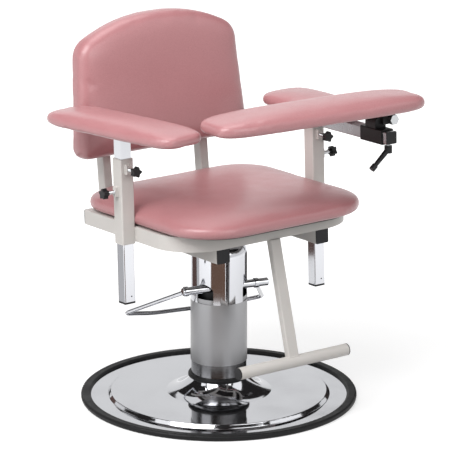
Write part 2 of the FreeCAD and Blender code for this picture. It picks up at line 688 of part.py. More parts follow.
collars = []
for side, reach, end in ((-1, bar_left, "left"), (1, bar_right, "right")):
    middle = reach * side
    skin = rod("collar_skin_" + end, collar_radius, s.collar_length,
               spot(middle - s.collar_length / 2, -s.shaft_offset, shaft_height, ACROSS_X))
    bore = rod("collar_bore_" + end, s.shaft_radius, s.collar_length + s.overrun * 2,
               spot(middle - s.collar_length / 2 - s.overrun, -s.shaft_offset, shaft_height, ACROSS_X))
    collars.append(cut("collar_" + end, skin, bore))
keep(group("collars", collars), "shaft_collars", PUMP)


def corner_cut(corner, before, after, radius):
    """Where a corner's rounding starts, its middle and where it ends."""
    to_before = (before - corner).normalize()
    to_after = (after - corner).normalize()
    half = to_before.getAngle(to_after) / 2
    reach = radius / math.tan(half)
    start = corner + to_before * reach
    end = corner + to_after * reach
    inward = (to_before + to_after).normalize()
    return start, corner + inward * (radius / math.sin(half) - radius), end


def rounded_edges(corners, radii, closed):
    """Lines and tangent arcs along corners; a radius of 0 keeps an end as it is."""
    count = len(corners)
    edges = []
    last = None
    first = None
    for here in range(count):
        open_end = not closed and here in (0, count - 1)
        if open_end:
            start = end = corners[here]
        else:
            start, middle, end = corner_cut(
                corners[here], corners[here - 1], corners[(here + 1) % count], radii[here])
        if last is not None:
            edges.append(Part.LineSegment(last, start).toShape())
        if first is None:
            first = start
        if not open_end:
            edges.append(Part.Arc(start, middle, end).toShape())
        last = end
    if closed:
        edges.append(Part.LineSegment(last, first).toShape())
    return edges


def made(label, shape, *frames):
    """A sub-part whose shape Part's own functions make."""
    thing = doc.addObject("Part::Feature", label + "_shape")
    thing.Shape = shape
    return keep(thing, label, *frames)


left_bow_share = 0.56
right_bow_share = 0.45
bar_corners = [
    FreeCAD.Vector(-bar_left.value, 0, 0),
    FreeCAD.Vector(-s.bar_corner_left.value, s.bar_reach.value, 0),
    FreeCAD.Vector(-s.bar_corner_left.value * left_bow_share, s.bar_reach.value + s.bar_bow.value, 0),
    FreeCAD.Vector(s.bar_corner_right.value * right_bow_share, s.bar_reach.value + s.bar_bow.value, 0),
    FreeCAD.Vector(s.bar_corner_right.value, s.bar_reach.value, 0),
    FreeCAD.Vector(bar_right.value, 0, 0),
]
bar_radii = [0, s.bar_bend.value, s.bar_sweep.value, s.bar_sweep.value, s.bar_bend.value, 0]
bar_path = Part.Wire(rounded_edges(bar_corners, bar_radii, False))
bar_start = bar_corners[1] - bar_corners[0]
bar_ring = Part.Wire(Part.Circle(bar_corners[0], bar_start, s.bar_radius.value).toShape())
bar_solid = bar_path.makePipeShell([bar_ring], True, False)
collar_room = Part.makeCylinder(
    collar_radius.value, shaft_half.value * 2,
    FreeCAD.Vector(-shaft_half.value, 0, 0), FreeCAD.Vector(1, 0, 0))
made("pedal_bar", bar_solid.cut(collar_room), PUMP, LOOP)

# Swivel: spindle with its flange, cut to the seat's tilt, and the plate between the rails

plate_half = s.rail_place - s.stock / 2
keep(box("swivel_box", plate_half * 2, s.swivel_half_depth * 2, s.swivel_thick,
         spot(-plate_half, -s.swivel_half_depth, plate_level)), "swivel_plate", UPPER,
     spot(-plate_half, -s.swivel_half_depth, plate_level))

flange_foot = plate_level - s.flange_thick
flange_disc = rod("flange_disc", s.flange_radius, s.flange_thick, UPPER + "*" + spot(0, 0, flange_foot))
spindle_core = rod("spindle_core", s.spindle_radius, plate_level + s.overrun * 2 - spindle_foot,
                   spot(0, 0, spindle_foot))
spindle_trim = box("spindle_trim", s.flange_radius * 2, s.flange_radius * 2, s.stock,
                   UPPER + "*" + spot(-s.flange_radius, -s.flange_radius, plate_level))
keep(cut("spindle_cut", fuse("spindle_solid", spindle_core, flange_disc), spindle_trim), "swivel_spindle")

flange_bolts = []
bolt_step = s.bolt_circle * math.sqrt(HALF)
for number, (x_side, y_side) in enumerate(((1, 1), (-1, 1), (-1, -1), (1, -1))):
    flange_bolts.append(hexagon("flange_bolt_%d" % number, s.bolt_head, s.bolt_head_height,
                                spot(bolt_step * x_side, bolt_step * y_side,
                                     flange_foot - s.bolt_head_height)))
keep(group("flange_bolt_group", flange_bolts), "flange_bolts", UPPER)

# Under-seat rails with plugs at both ends

rail_length = rail_rear + rail_front
rail_middle_height = rail_foot + s.stock / 2
rail_plugs = []
for side, hand in ((-1, "right"), (1, "left")):
    place_x = s.rail_place * side
    rail = tube_body(hand + "_rail", s.stock, s.stock, s.stock_wall, s.stock_round, rail_length)
    keep(rail, hand + "_rail", UPPER, spot(place_x, -rail_front, rail_middle_height, ACROSS_Y))
    for end, line, turn in (("front", -rail_front, -QUARTER_TURN), ("rear", rail_rear, QUARTER_TURN)):
        plug = plug_body("rail_plug_%s_%s" % (hand, end), s.stock, s.stock, s.stock_wall, s.stock_round)
        seat(plug, spot(place_x, line, rail_middle_height, turned("1;0;0", turn)))
        rail_plugs.append(plug)
keep(group("rail_plug_group", rail_plugs), "rail_plugs", UPPER)

# Seat frame: a U of tall tube with its front corners bent, a cross tube behind, plugs


def u_loop(half, front, rear, bend):
    """The outer outline of the U, open to the rear."""
    straight = front - bend
    return [(-half, rear), (-half, -straight, bend, -1), (-(half - bend), -front),
            (half - bend, -front, bend, -1), (half, -straight), (half, rear)]


def u_band(name, inset, height):
    """The U as a band between its outer outline and its inner one."""
    outer = u_loop(frame_half - inset, frame_front - inset, frame_rear, s.frame_bend - inset)
    reach = s.slim_stock - inset
    half, front, bend = frame_half - reach, frame_front - reach, s.frame_bend - reach
    straight = front - bend
    inner = [(half, frame_rear), (half, -straight, bend, 1), (half - bend, -front),
             (-(half - bend), -front, bend, 1), (-half, -straight), (-half, frame_rear)]
    return padded_body(name, [outer + inner], height)


frame_bar = u_band("frame_skin", Size("0", 0), s.stock)
frame_hollow = u_band("frame_hollow", s.stock_wall, s.stock - s.stock_wall * 2)
seat(frame_bar, spot(0, 0, frame_foot))
seat(frame_hollow, spot(0, 0, frame_foot + s.stock_wall))
keep(cut("frame_cut", frame_bar, frame_hollow), "seat_frame", UPPER)

frame_plugs = []
plug_middle = frame_half - s.slim_stock / 2
for side, hand in ((-1, "right"), (1, "left")):
    cap = padded_body("frame_plug_" + hand, [rounded_box_loop(s.slim_stock / 2, s.stock / 2, s.stock_round)],
                      s.plug_lip)
    seat(cap, spot(plug_middle * side, frame_rear, frame_foot + s.stock / 2, ACROSS_Y))
    frame_plugs.append(cap)
keep(group("frame_plug_group", frame_plugs), "frame_plugs", UPPER)

cross_half = frame_half - s.slim_stock
cross_tube = tube_body("cross_tube", s.stock, s.stock, s.stock_wall, s.stock_round, cross_half * 2)
keep(cross_tube, "rear_cross_tube", UPPER,
     spot(-cross_half, cross_place, frame_foot + s.stock / 2, ACROSS_X))

# Cushions: lofts whose sections follow one rule of height share and inset

# Heights are shares of the thickness, insets are shares of the reach.
BACK_SHARES = [(0.0, 0.05), (0.08, 0.013), (0.20, 0.0), (0.50, 0.0), (0.62, 0.017), (0.74, 0.058),
               (0.83, 0.117), (0.90, 0.2), (0.95, 0.333), (0.98, 0.583), (1.0, 0.95)]
SEAT_SHARES = [(0.0, 0.1), (0.07, 0.044), (0.16, 0.012), (0.28, 0.0), (0.45, 0.003), (0.57, 0.022),
               (0.68, 0.069), (0.77, 0.1375), (0.85, 0.26), (0.92, 0.48), (0.97, 0.8)]
PAD_SHARES = [(0.0, 0.175), (0.05, 0.088), (0.11, 0.031), (0.20, 0.0), (0.36, 0.0), (0.46, 0.015),
              (0.57, 0.045), (0.68, 0.1), (0.78, 0.1875), (0.87, 0.3125), (0.945, 0.475), (0.985, 0.65)]


rounding_share = 0.35


def inset_corners(corners, distance):
    """A convex outline, run anticlockwise, with each side moved inward."""
    moved = []
    count = len(corners)
    for here in range(count):
        before = (corners[here] - corners[here - 1]).normalize()
        after = (corners[(here + 1) % count] - corners[here]).normalize()
        normal_before = FreeCAD.Vector(-before.y, before.x, 0)
        normal_after = FreeCAD.Vector(-after.y, after.x, 0)
        spread = 1 + normal_before.dot(normal_after)
        moved.append(corners[here] + (normal_before + normal_after) * (distance / spread))
    return moved


def cushion_solid(corners, radii, thick, reach, shares, recess=None):
    """A crowned pad on an outline; reach is the half width that the crown climbs over."""
    wires = []
    for height_share, inset_share in shares:
        distance = inset_share * reach
        outline = inset_corners(corners, distance)
        rounds = [max(radius - distance, radius * rounding_share) for radius in radii]
        edges = rounded_edges(outline, rounds, True)
        wire = Part.Wire(edges)
        wire.translate(FreeCAD.Vector(0, 0, thick * height_share))
        wires.append(wire)
    solid = Part.makeLoft(wires, True, True)
    if recess is not None:
        solid = solid.cut(recess)
    return solid


def flat_board(corners, radii, inset, thick):
    """A plywood board inside a cushion's outline."""
    outline = inset_corners(corners, inset)
    rounds = [radius - inset * HALF for radius in radii]
    face = Part.Face(Part.Wire(rounded_edges(outline, rounds, True)))
    return face.extrude(FreeCAD.Vector(0, 0, thick))


def rectangle_corners(low_x, low_y, high_x, high_y):
    return [FreeCAD.Vector(low_x, low_y, 0), FreeCAD.Vector(high_x, low_y, 0),
            FreeCAD.Vector(high_x, high_y, 0), FreeCAD.Vector(low_x, high_y, 0)]


seat_corners = rectangle_corners(-seat_half.value, -s.seat_front.value, seat_half.value, s.seat_rear.value)
seat_radii = [s.seat_front_round.value] * 2 + [s.seat_rear_round.value] * 2
board = flat_board(seat_corners, seat_radii, s.board_inset.value, s.board_thick.value)
made("seat_board", board, UPPER, spot(0, 0, frame_top))
board_room = flat_board(seat_corners, seat_radii, s.board_inset.value - s.air.value,
                        s.board_thick.value + s.air.value)
board_room.translate(FreeCAD.Vector(0, 0, -s.seat_lift.value))
seat_solid = cushion_solid(seat_corners, seat_radii, s.seat_thick.value, s.crown_reach.value, SEAT_SHARES,
                           board_room)
made("seat_cushion", seat_solid, UPPER, spot(0, 0, seat_foot))

screw_places = [(x_side * (frame_half - s.slim_stock / 2), y_line)
                for x_side in (-1, 1) for y_line in (cross_place, -s.post_line * 4)]
seat_screws = []
for number, (screw_x, screw_y) in enumerate(screw_places):
    seat_screws.append(rod("seat_screw_%d" % number, s.screw_head, s.screw_head_height,
                           spot(screw_x, screw_y, frame_foot - s.screw_head_height)))
keep(group("seat_screw_group", seat_screws), "seat_screws", UPPER)

# Back: uprights on the rails, board and arched cushion

upright_plugs = []
for side, hand in ((-1, "right"), (1, "left")):
    place_x = s.rail_place * side
    tube = tube_body(hand + "_upright", s.upright_width, s.upright_depth, s.stock_wall, s.stock_round,
                     s.upright_length + s.overrun)
    seat(tube, BACK, spot(place_x, s.upright_depth / 2, -s.overrun))
    below = box("below_rail_" + hand, s.stock * 2, s.stock * 3, s.stock,
                spot(place_x - s.stock, upright_front - s.stock, frame_foot - s.stock))
    keep(cut(hand + "_upright_cut", tube, below), hand + "_upright", UPPER)
    plug = plug_body("upright_plug_" + hand, s.upright_width, s.upright_depth, s.stock_wall, s.stock_round)
    seat(plug, BACK, spot(place_x, s.upright_depth / 2, s.upright_length, turned("1;0;0", QUARTER_TURN * 2)))
    upright_plugs.append(plug)
keep(group("upright_plug_group", upright_plugs), "upright_plugs", UPPER)

back_corners = [
    FreeCAD.Vector(-back_half_foot.value, 0, 0),
    FreeCAD.Vector(back_half_foot.value, 0, 0),
    FreeCAD.Vector(s.back_half_top.value, s.back_shoulder.value, 0),
    FreeCAD.Vector(0, back_height.value, 0),
    FreeCAD.Vector(-s.back_half_top.value, s.back_shoulder.value, 0),
]
back_radii = [s.back_foot_round.value] * 2 + [s.back_shoulder_round.value, back_arch.value,
                                              s.back_shoulder_round.value]
LYING = turned("1;0;0", QUARTER_TURN)
made("back_board", flat_board(back_corners, back_radii, s.board_inset.value, s.board_thick.value),
     UPPER, BACK, spot(0, 0, s.back_foot, LYING))
back_room = flat_board(back_corners, back_radii, s.board_inset.value - s.air.value,
                       s.board_thick.value + s.air.value)
back_room.translate(FreeCAD.Vector(0, 0, -s.back_lift.value))
back_solid = cushion_solid(back_corners, back_radii, s.back_thick.value, s.back_reach.value, BACK_SHARES,
                           back_room)
made("back_cushion", back_solid, UPPER, BACK, spot(0, -s.back_lift, s.back_foot, LYING))

back_screws = []
for side, hand in ((-1, "right"), (1, "left")):
    for number, height in enumerate((s.back_foot + s.board_inset * 3, s.upright_length - s.board_inset * 2)):
        back_screws.append(rod("back_screw_%s_%d" % (hand, number), s.screw_head, s.screw_head_height,
                               BACK + "*" + spot(s.rail_place * side, s.upright_depth, height, ACROSS_Y)))
keep(group("back_screw_group", back_screws), "back_screws", UPPER)

# Post sleeves on the frame's sides, welded nuts, star knobs

knob_bore = s.knob_stud + s.air
nuts = []


def knob_solid():
    """A five-lobed knob along +Z with its hub and stud; the stud's tip is at 0."""
    sleeve_skin = s.sleeve_wall.value + s.air.value
    tips = []
    radii = []
    for step in range(10):
        angle = math.radians(36 * step)
        reach = s.knob_tip.value if step % 2 == 0 else s.knob_valley.value
        radii.append(s.knob_tip_round.value if step % 2 == 0 else s.knob_valley_round.value)
        tips.append(FreeCAD.Vector(reach * math.cos(angle), reach * math.sin(angle), 0))
    star = Part.Face(Part.Wire(rounded_edges(tips, radii, True)))
    star_foot = sleeve_skin + s.knob_reach.value
    star = star.extrude(FreeCAD.Vector(0, 0, s.knob_thick.value))
    star.translate(FreeCAD.Vector(0, 0, star_foot))
    hub_length = s.knob_hub_length.value
    hub_shape = Part.makeCylinder(s.knob_hub.value, hub_length, FreeCAD.Vector(0, 0, star_foot - hub_length))
    stud = Part.makeCylinder(s.knob_stud.value, star_foot, FreeCAD.Vector(0, 0, 0))
    return star.fuse([hub_shape, stud]).removeSplitter()


for side, hand in ((-1, "right"), (1, "left")):
    post_x = s.post_place * side
    sleeve = tube_body(hand + "_sleeve", s.stock, s.stock, s.sleeve_wall, s.stock_round, s.sleeve_length)
    seat(sleeve, spot(post_x, -s.post_line, sleeve_foot))
    side_turn = turned("0;1;0", QUARTER_TURN * side)
    front_at = spot(post_x, -s.post_line - s.tube_side / 2 - s.air, front_knob, LYING)
    side_at = spot(post_x + (s.tube_side / 2 + s.air) * side, -s.post_line, side_knob, side_turn)
    front_hole = rod("front_hole_" + hand, knob_bore, s.stock, front_at)
    side_hole = rod("side_hole_" + hand, knob_bore, s.stock, side_at)
    keep(cut(hand + "_sleeve_cut", sleeve, front_hole, side_hole), hand + "_sleeve", UPPER)
    front_nut = box("front_nut_block_" + hand, s.weld_nut * 2, s.weld_nut_thick, s.weld_nut_height * 2,
                    spot(post_x - s.weld_nut, -s.post_line - s.stock / 2 - s.weld_nut_thick,
                         front_knob - s.weld_nut_height))
    side_x = post_x + s.stock / 2 if side > 0 else post_x - s.stock / 2 - s.weld_nut_thick
    side_nut = box("side_nut_block_" + hand, s.weld_nut_thick, s.weld_nut * 2, s.weld_nut_height * 2,
                   spot(side_x, -s.post_line - s.weld_nut, side_knob - s.weld_nut_height))
    nuts.append(cut("front_nut_" + hand, front_nut,
                    rod("front_nut_hole_" + hand, knob_bore, s.stock, front_at)))
    nuts.append(cut("side_nut_" + hand, side_nut,
                    rod("side_nut_hole_" + hand, knob_bore, s.stock, side_at)))
    made(hand + "_front_knob", knob_solid(), UPPER, front_at)
    made(hand + "_side_knob", knob_solid(), UPPER, side_at)
keep(group("nut_group", nuts), "weld_nuts", UPPER)

# Arm tubes, pads and the plates that carry them

for hand, side, top in (("right", -1, plain_top), ("left", 1, flip_rail_foot)):
    post_x = s.post_place * side
    foot = top - s.tube_length
    tube = tube_body(hand + "_arm_tube", s.tube_side, s.tube_side, s.tube_wall, s.tube_round, s.tube_length)
    seat(tube, spot(post_x, -s.post_line, foot))
    pin = rod("pin_hole_" + hand, s.pin_hole, s.stock,
              spot(post_x + s.pin_hole * 2, -s.post_line - s.stock, foot + s.plug_depth, ACROSS_Y))
    keep(cut(hand + "_tube_cut", tube, pin), hand + "_arm_tube", UPPER)
    plug = plug_body(hand + "_tube_plug", s.tube_side, s.tube_side, s.tube_wall, s.tube_round, s.end_lip)
    keep(plug, hand + "_tube_plug", UPPER, spot(post_x, -s.post_line, foot))


def pad_plate(label, place_x, foot):
    keep(box(label + "_box", s.plate_half_width * 2, s.plate_half_length * 2, s.plate_thick, spot(0, 0, 0)),
         label, UPPER, spot(place_x - s.plate_half_width, -s.post_line - s.plate_half_length, foot))


pad_plate("right_arm_plate", -s.post_place, plain_pad_foot - s.plate_thick)
pad_plate("left_arm_plate", s.post_place, short_pad_foot - s.plate_thick)


def pad_solid(half_x, half_y, thick, corner):
    """An arm pad about the origin, as long as it is wanted."""
    corners = rectangle_corners(-half_x, -half_y, half_x, half_y)
    return cushion_solid(corners, [corner] * 4, thick, min(half_x, half_y), PAD_SHARES)


made("right_arm_pad", pad_solid(s.pad_half_width.value, s.pad_half_length.value, s.pad_thick.value,
                                s.pad_round.value),
     UPPER, spot(-s.post_place, -s.post_line, plain_pad_foot, turned("0;0;1", s.pad_yaw)))
made("left_arm_pad", pad_solid(s.pad_half_width.value, s.short_half_length.value, s.short_thick.value,
                               s.pad_round.value),
     UPPER, spot(s.post_place, -s.post_line, short_pad_foot))

# Flip rail on the left arm tube, with plugs

flip_rail_length = s.rail_reach + s.rail_back
flip_rail = tube_body("flip_rail", s.tube_side, s.tube_side, s.tube_wall, s.tube_round, flip_rail_length)
keep(flip_rail, "flip_rail", UPPER, spot(s.post_place, -s.rail_reach, flip_rail_middle, ACROSS_Y))
flip_plugs = []
for end, line, turn in (("front", -s.rail_reach, -QUARTER_TURN), ("rear", s.rail_back, QUARTER_TURN)):
    plug = plug_body("flip_plug_" + end, s.tube_side, s.tube_side, s.tube_wall, s.tube_round)
    seat(plug, spot(s.post_place, line, flip_rail_middle, turned("1;0;0", turn)))
    flip_plugs.append(plug)
keep(group("flip_plug_group", flip_plugs), "flip_rail_plugs", UPPER)

# Carriage: a sleeve on the flip rail with a barrel and a bored lug for the hinge

carriage_sleeve = tube_body("carriage", s.stock, s.stock, s.sleeve_wall, s.stock_round, s.carriage_length)
seat(carriage_sleeve, spot(s.post_place, -carriage_front, flip_rail_middle, ACROSS_Y))
barrel_height = carriage_top + s.barrel_rise
barrel = rod("barrel", s.barrel_radius, s.barrel_length,
             spot(s.post_place, -barrel_front, barrel_height, ACROSS_Y))
lug = rod("lug", s.lug_radius, s.barrel_length, spot(hinge_place, -barrel_front, hinge_height, ACROSS_Y))
lug_web = box("lug_web", s.hinge_offset, s.barrel_length, s.lug_radius * 2,
              spot(s.post_place, -barrel_front, hinge_height - s.lug_radius))
barrel_foot = box("barrel_foot", s.barrel_radius * 2, s.barrel_length, s.barrel_rise + s.air,
                  spot(s.post_place - s.barrel_radius, -barrel_front, carriage_top - s.air))
rail_room = box("rail_room", s.stock - s.sleeve_wall * 2, s.carriage_length, s.stock - s.sleeve_wall * 2,
                spot(s.post_place - s.stock / 2 + s.sleeve_wall, -carriage_front,
                     carriage_foot + s.sleeve_wall))
hinge_bore = rod("hinge_bore", s.hinge_bolt + s.running, s.barrel_length + s.overrun * 2,
                 spot(hinge_place, -barrel_front - s.overrun, hinge_height, ACROSS_Y))
lever_bore = rod("lever_bore", s.lever_stud + s.air, s.stock,
                 spot(lever_place, -lever_line, carriage_foot - s.stock / 2))
carriage_solid = fuse("carriage_solid", carriage_sleeve, barrel, lug, lug_web, barrel_foot)
keep(cut("carriage_cut", carriage_solid, rail_room, hinge_bore, lever_bore), "flip_carriage", UPPER)

# Hinge leaf under the flip pad, with two ears on the bolt, and the bolt with its nut

ears = []
ear_gap = s.air * 2
ear_lines = [("front", barrel_front + ear_gap), ("rear", barrel_rear - ear_gap - s.ear_thick)]
for end, line in ear_lines:
    ear_round = rod("ear_round_" + end, s.lug_radius, s.ear_thick,
                    spot(hinge_place, -line - s.ear_thick, hinge_height, ACROSS_Y))
    ear_block = box("ear_block_" + end, s.ear_reach, s.ear_thick, s.leaf_rise + s.lug_radius,
                    spot(hinge_place - s.ear_reach, -line - s.ear_thick, hinge_height - s.lug_radius))
    ear_neck = box("ear_neck_" + end, s.lug_radius, s.ear_thick, s.leaf_rise,
                   spot(hinge_place, -line - s.ear_thick, hinge_height))
    ears += [ear_round, ear_block, ear_neck]
leaf_middle = (barrel_front + barrel_rear) / 2
leaf_box = box("leaf_box", s.leaf_reach_in + s.leaf_reach_out, s.leaf_half_depth * 2, s.leaf_thick,
               spot(hinge_place - s.leaf_reach_in, -leaf_middle - s.leaf_half_depth, leaf_foot))
ear_front = barrel_front + ear_gap + s.ear_thick
ear_rear = barrel_rear - ear_gap - s.ear_thick
leaf_bore = rod("leaf_bore", s.hinge_bolt, ear_front - ear_rear + s.overrun * 2,
                spot(hinge_place, -ear_front - s.overrun, hinge_height, ACROSS_Y))
keep(cut("leaf_cut", fuse("leaf_solid", leaf_box, *ears), leaf_bore), "hinge_leaf", UPPER)

bolt_front = ear_front + s.washer_thick + s.nut_height
bolt_shank = rod("bolt_shank", s.hinge_bolt, bolt_front - ear_rear,
                 spot(hinge_place, -bolt_front, hinge_height, ACROSS_Y))
bolt_cap = hexagon("bolt_cap", s.bolt_hex * 0.8, s.hinge_bolt,
                   spot(hinge_place, -ear_rear, hinge_height, ACROSS_Y))
keep(fuse("bolt_solid", bolt_shank, bolt_cap), "hinge_bolt", UPPER)

nut_block = hexagon("nut_block", s.bolt_hex, s.nut_height,
                    spot(hinge_place, -bolt_front, hinge_height, ACROSS_Y))
nut_dome = rod("nut_washer", s.bolt_hex, s.washer_thick,
               spot(hinge_place, -ear_front - s.washer_thick, hinge_height, ACROSS_Y))
nut_bore = rod("nut_bore", s.hinge_bolt, s.nut_height * 2,
               spot(hinge_place, -bolt_front, hinge_height, ACROSS_Y))
keep(cut("nut_cut", fuse("nut_solid", nut_block, nut_dome), nut_bore), "hinge_nut", UPPER)

made("flip_pad", pad_solid(flip_half_length.value, s.flip_half_width.value, s.flip_thick.value,
                           s.flip_round.value),
     UPPER, spot(flip_middle, -flip_line, flip_foot, turned("0;0;1", -s.flip_yaw)))

# Clamp lever under the carriage: hub, stud and a sloping arm with a thickened end

lever_top = flip_rail_foot - s.air
hub_top = carriage_foot - s.lever_drop
stud_solid = Part.makeCylinder(s.lever_stud.value, (lever_top - hub_top).value)
hub_solid = Part.makeCylinder(s.lever_hub.value, s.lever_hub_height.value,
                              FreeCAD.Vector(0, 0, -s.lever_hub_height.value))
slope = math.radians(s.lever_slope.value)
arm_way = FreeCAD.Vector(-math.cos(slope), 0, -math.sin(slope))
arm_root = FreeCAD.Vector(0, 0, -s.lever_hub_height.value * HALF)
neck_length = s.lever_length.value - s.lever_grip_length.value
arm_solid = Part.makeCone(s.lever_root.value, s.lever_neck.value, neck_length, arm_root, arm_way)
grip_solid = Part.makeCylinder(s.lever_grip.value, s.lever_grip_length.value,
                               arm_root + arm_way * neck_length, arm_way)
lever_solid = hub_solid.fuse([arm_solid, grip_solid]).removeSplitter()
made("clamp_lever", lever_solid, UPPER, spot(lever_place, -lever_line, hub_top))
made("clamp_stud", stud_solid, UPPER, spot(lever_place, -lever_line, hub_top))

# Footrest: a flat down tube from the frame's front, a round cross bar with plugs

foot_turn = turned("1;0;0", QUARTER_TURN * 2 - s.foot_lean)
foot_tube = tube_body("foot_tube", s.foot_width, s.foot_depth, s.stock_wall, s.stock_round,
                      s.foot_length + s.stock)
foot_start = frame_foot + s.stock * HALF
seat(foot_tube, spot(0, -foot_line, foot_start, foot_turn))
bar_distance = s.foot_length + s.bar_tube
bar_line = foot_line + bar_distance * sine(s.foot_lean)
bar_height = foot_start - bar_distance * cosine(s.foot_lean)
above_frame = box("above_frame", s.foot_width * 2, s.stock * 2, s.stock,
                  spot(-s.foot_width, -foot_line - s.stock, frame_foot))
below_bar = rod("below_bar", s.bar_tube, s.bar_half * 2, spot(-s.bar_half, -bar_line, bar_height, ACROSS_X))
foot_tail = box("foot_tail", s.foot_width * 2, s.stock * 4, s.stock,
                spot(-s.foot_width, -bar_line - s.stock * 2, bar_height - s.stock))
keep(cut("foot_cut", foot_tube, above_frame, below_bar, foot_tail), "footrest_post", UPPER)

bar_skin = rod("bar_skin", s.bar_tube, s.bar_half * 2, spot(-s.bar_half, -bar_line, bar_height, ACROSS_X))
bar_hollow = rod("bar_hollow", s.bar_tube - s.bar_wall, s.bar_half * 2 + s.overrun * 2,
                 spot(-s.bar_half - s.overrun, -bar_line, bar_height, ACROSS_X))
keep(cut("foot_bar_cut", bar_skin, bar_hollow), "footrest_bar", UPPER)

foot_plugs = []
for side, hand in ((-1, "right"), (1, "left")):
    turn = turned("0;1;0", QUARTER_TURN * side)
    face = s.bar_half * side
    head = rod("foot_plug_head_" + hand, s.bar_tube, s.plug_lip, spot(face, -bar_line, bar_height, turn))
    back_turn = turned("0;1;0", QUARTER_TURN * -side)
    stem = rod("foot_plug_stem_" + hand, s.bar_tube - s.bar_wall - s.air, s.plug_depth,
               spot(face, -bar_line, bar_height, back_turn))
    foot_plugs.append(fuse("foot_plug_" + hand, head, stem))
keep(group("foot_plug_group", foot_plugs), "footrest_plugs", UPPER)

# Build, check and write

doc.recompute()
faults = [thing.Label for thing in doc.Objects
          if any(word in thing.State for word in ("Invalid", "Error"))]
faults += [thing.Label for thing in PARTS if thing.Shape.isNull() or not thing.Shape.isValid()]
if faults:
    raise RuntimeError("failed: " + ", ".join(faults))
os.makedirs("parts", exist_ok=True)
for thing in PARTS:
    thing.Shape.exportStep("parts/%s.step" % thing.Label)
    bounds = thing.Shape.BoundBox
    print("%-18s %2d solids  %8.1f cm3  x %7.1f %7.1f  y %7.1f %7.1f  z %7.1f %7.1f" % (
        thing.Label, len(thing.Shape.Solids), thing.Shape.Volume / 1000, bounds.XMin, bounds.XMax,
        bounds.YMin, bounds.YMax, bounds.ZMin, bounds.ZMax))
print(len(PARTS), "sub-parts")
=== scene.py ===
"""Looks of a phlebotomy chair with a flip-up arm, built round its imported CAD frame.

Places are in millimetres until they become mesh points. Left and right are the sitter's."""

import json
import math

import bmesh
import bpy
from mathutils import Matrix, Vector


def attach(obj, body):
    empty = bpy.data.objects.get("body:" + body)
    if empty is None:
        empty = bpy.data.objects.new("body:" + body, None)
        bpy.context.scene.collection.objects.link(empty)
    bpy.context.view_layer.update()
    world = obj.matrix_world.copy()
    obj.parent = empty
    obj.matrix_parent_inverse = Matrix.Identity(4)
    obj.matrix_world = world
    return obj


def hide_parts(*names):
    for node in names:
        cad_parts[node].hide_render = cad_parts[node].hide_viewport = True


bl_info = {
    "name": "Phlebotomy chair",
    "version": (1, 0, 0),
    "blender": (4, 5, 0),
    "location": "View3D > Sidebar > Chair",
    "description": "Dresses the packed chair with vinyl cushions, chrome, powder coat and hardware",
    "category": "Object",
}

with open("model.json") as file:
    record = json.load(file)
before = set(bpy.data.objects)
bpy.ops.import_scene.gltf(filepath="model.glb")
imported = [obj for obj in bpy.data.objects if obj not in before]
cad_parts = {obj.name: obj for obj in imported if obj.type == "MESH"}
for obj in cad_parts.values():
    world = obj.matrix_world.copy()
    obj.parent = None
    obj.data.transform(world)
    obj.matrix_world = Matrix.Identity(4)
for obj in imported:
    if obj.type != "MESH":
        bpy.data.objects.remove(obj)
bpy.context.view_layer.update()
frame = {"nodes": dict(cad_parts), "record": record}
NODES = frame["nodes"]
MM = 0.001

# Attitudes and places that the frame was drawn with
SEAT_TILT = 2.3
PIVOT_HEIGHT = 400
RECLINE = 4.1
FRAME_FOOT = 472.9
FRAME_TOP = 511
STOCK_HALF = 19.05
POST_PLACE = 299
POST_LINE = -17.4
FRONT_KNOB = 662.4
SIDE_KNOB = 605
NUT_THICK = 9
NUT_HALF = (7.4, 12.4)
STUD_RADIUS = 4.6
STUD_THREAD = 18.5
UPRIGHT_FRONT = 267
FOOT_LEAN = 13.4
FOOT_LINE = -235.5
FOOT_START = 491.95
FOOT_REACH = 333.5
BAR_RADIUS = 15.5
SEAT_BOARD_TOP = 514
BACK_FOOT = 147.5
BACK_BOARD_FACE = 5
# Welds and threads start this far off the faces that they stand on
PROUD = 0.2


def upper(x, y, z):
    """A point of the leaning seat frame, as a place in metres."""
    lean = math.radians(SEAT_TILT)
    rise = z - PIVOT_HEIGHT
    return Vector((x, y * math.cos(lean) + rise * math.sin(lean),
                   PIVOT_HEIGHT + rise * math.cos(lean) - y * math.sin(lean))) * MM


def backrest(x, y, z):
    """A point of the reclined back: y runs up its face and z comes out of it."""
    recline = math.radians(RECLINE)
    return upper(x, UPRIGHT_FRONT - z * math.cos(recline) + y * math.sin(recline),
                 FRAME_FOOT + y * math.cos(recline) + z * math.sin(recline))


# Nodes and materials

def linear(hex_colour):
    """An sRGB hex colour as linear RGBA."""
    channels = [int(hex_colour[i:i + 2], 16) / 255 for i in (1, 3, 5)]
    return tuple(c / 12.92 if c <= 0.04045 else ((c + 0.055) / 1.055) ** 2.4 for c in channels) + (1.0,)


def add(tree, kind, inputs=None, **settings):
    """Adds a node to a tree with its settings, values and links."""
    made = tree.nodes.new(kind)
    for key, value in settings.items():
        setattr(made, key, value)
    for key, value in (inputs or {}).items():
        if isinstance(value, bpy.types.NodeSocket):
            tree.links.new(value, made.inputs[key])
        else:
            made.inputs[key].default_value = value
    return made


def new_material(name):
    """An empty node material and its tree."""
    material = bpy.data.materials.new(name)
    material.use_nodes = True
    material.node_tree.nodes.clear()
    return material, material.node_tree


def surface(tree, shader):
    """Ends a material's tree with a shader."""
    add(tree, "ShaderNodeOutputMaterial", {"Surface": shader.outputs[0]})


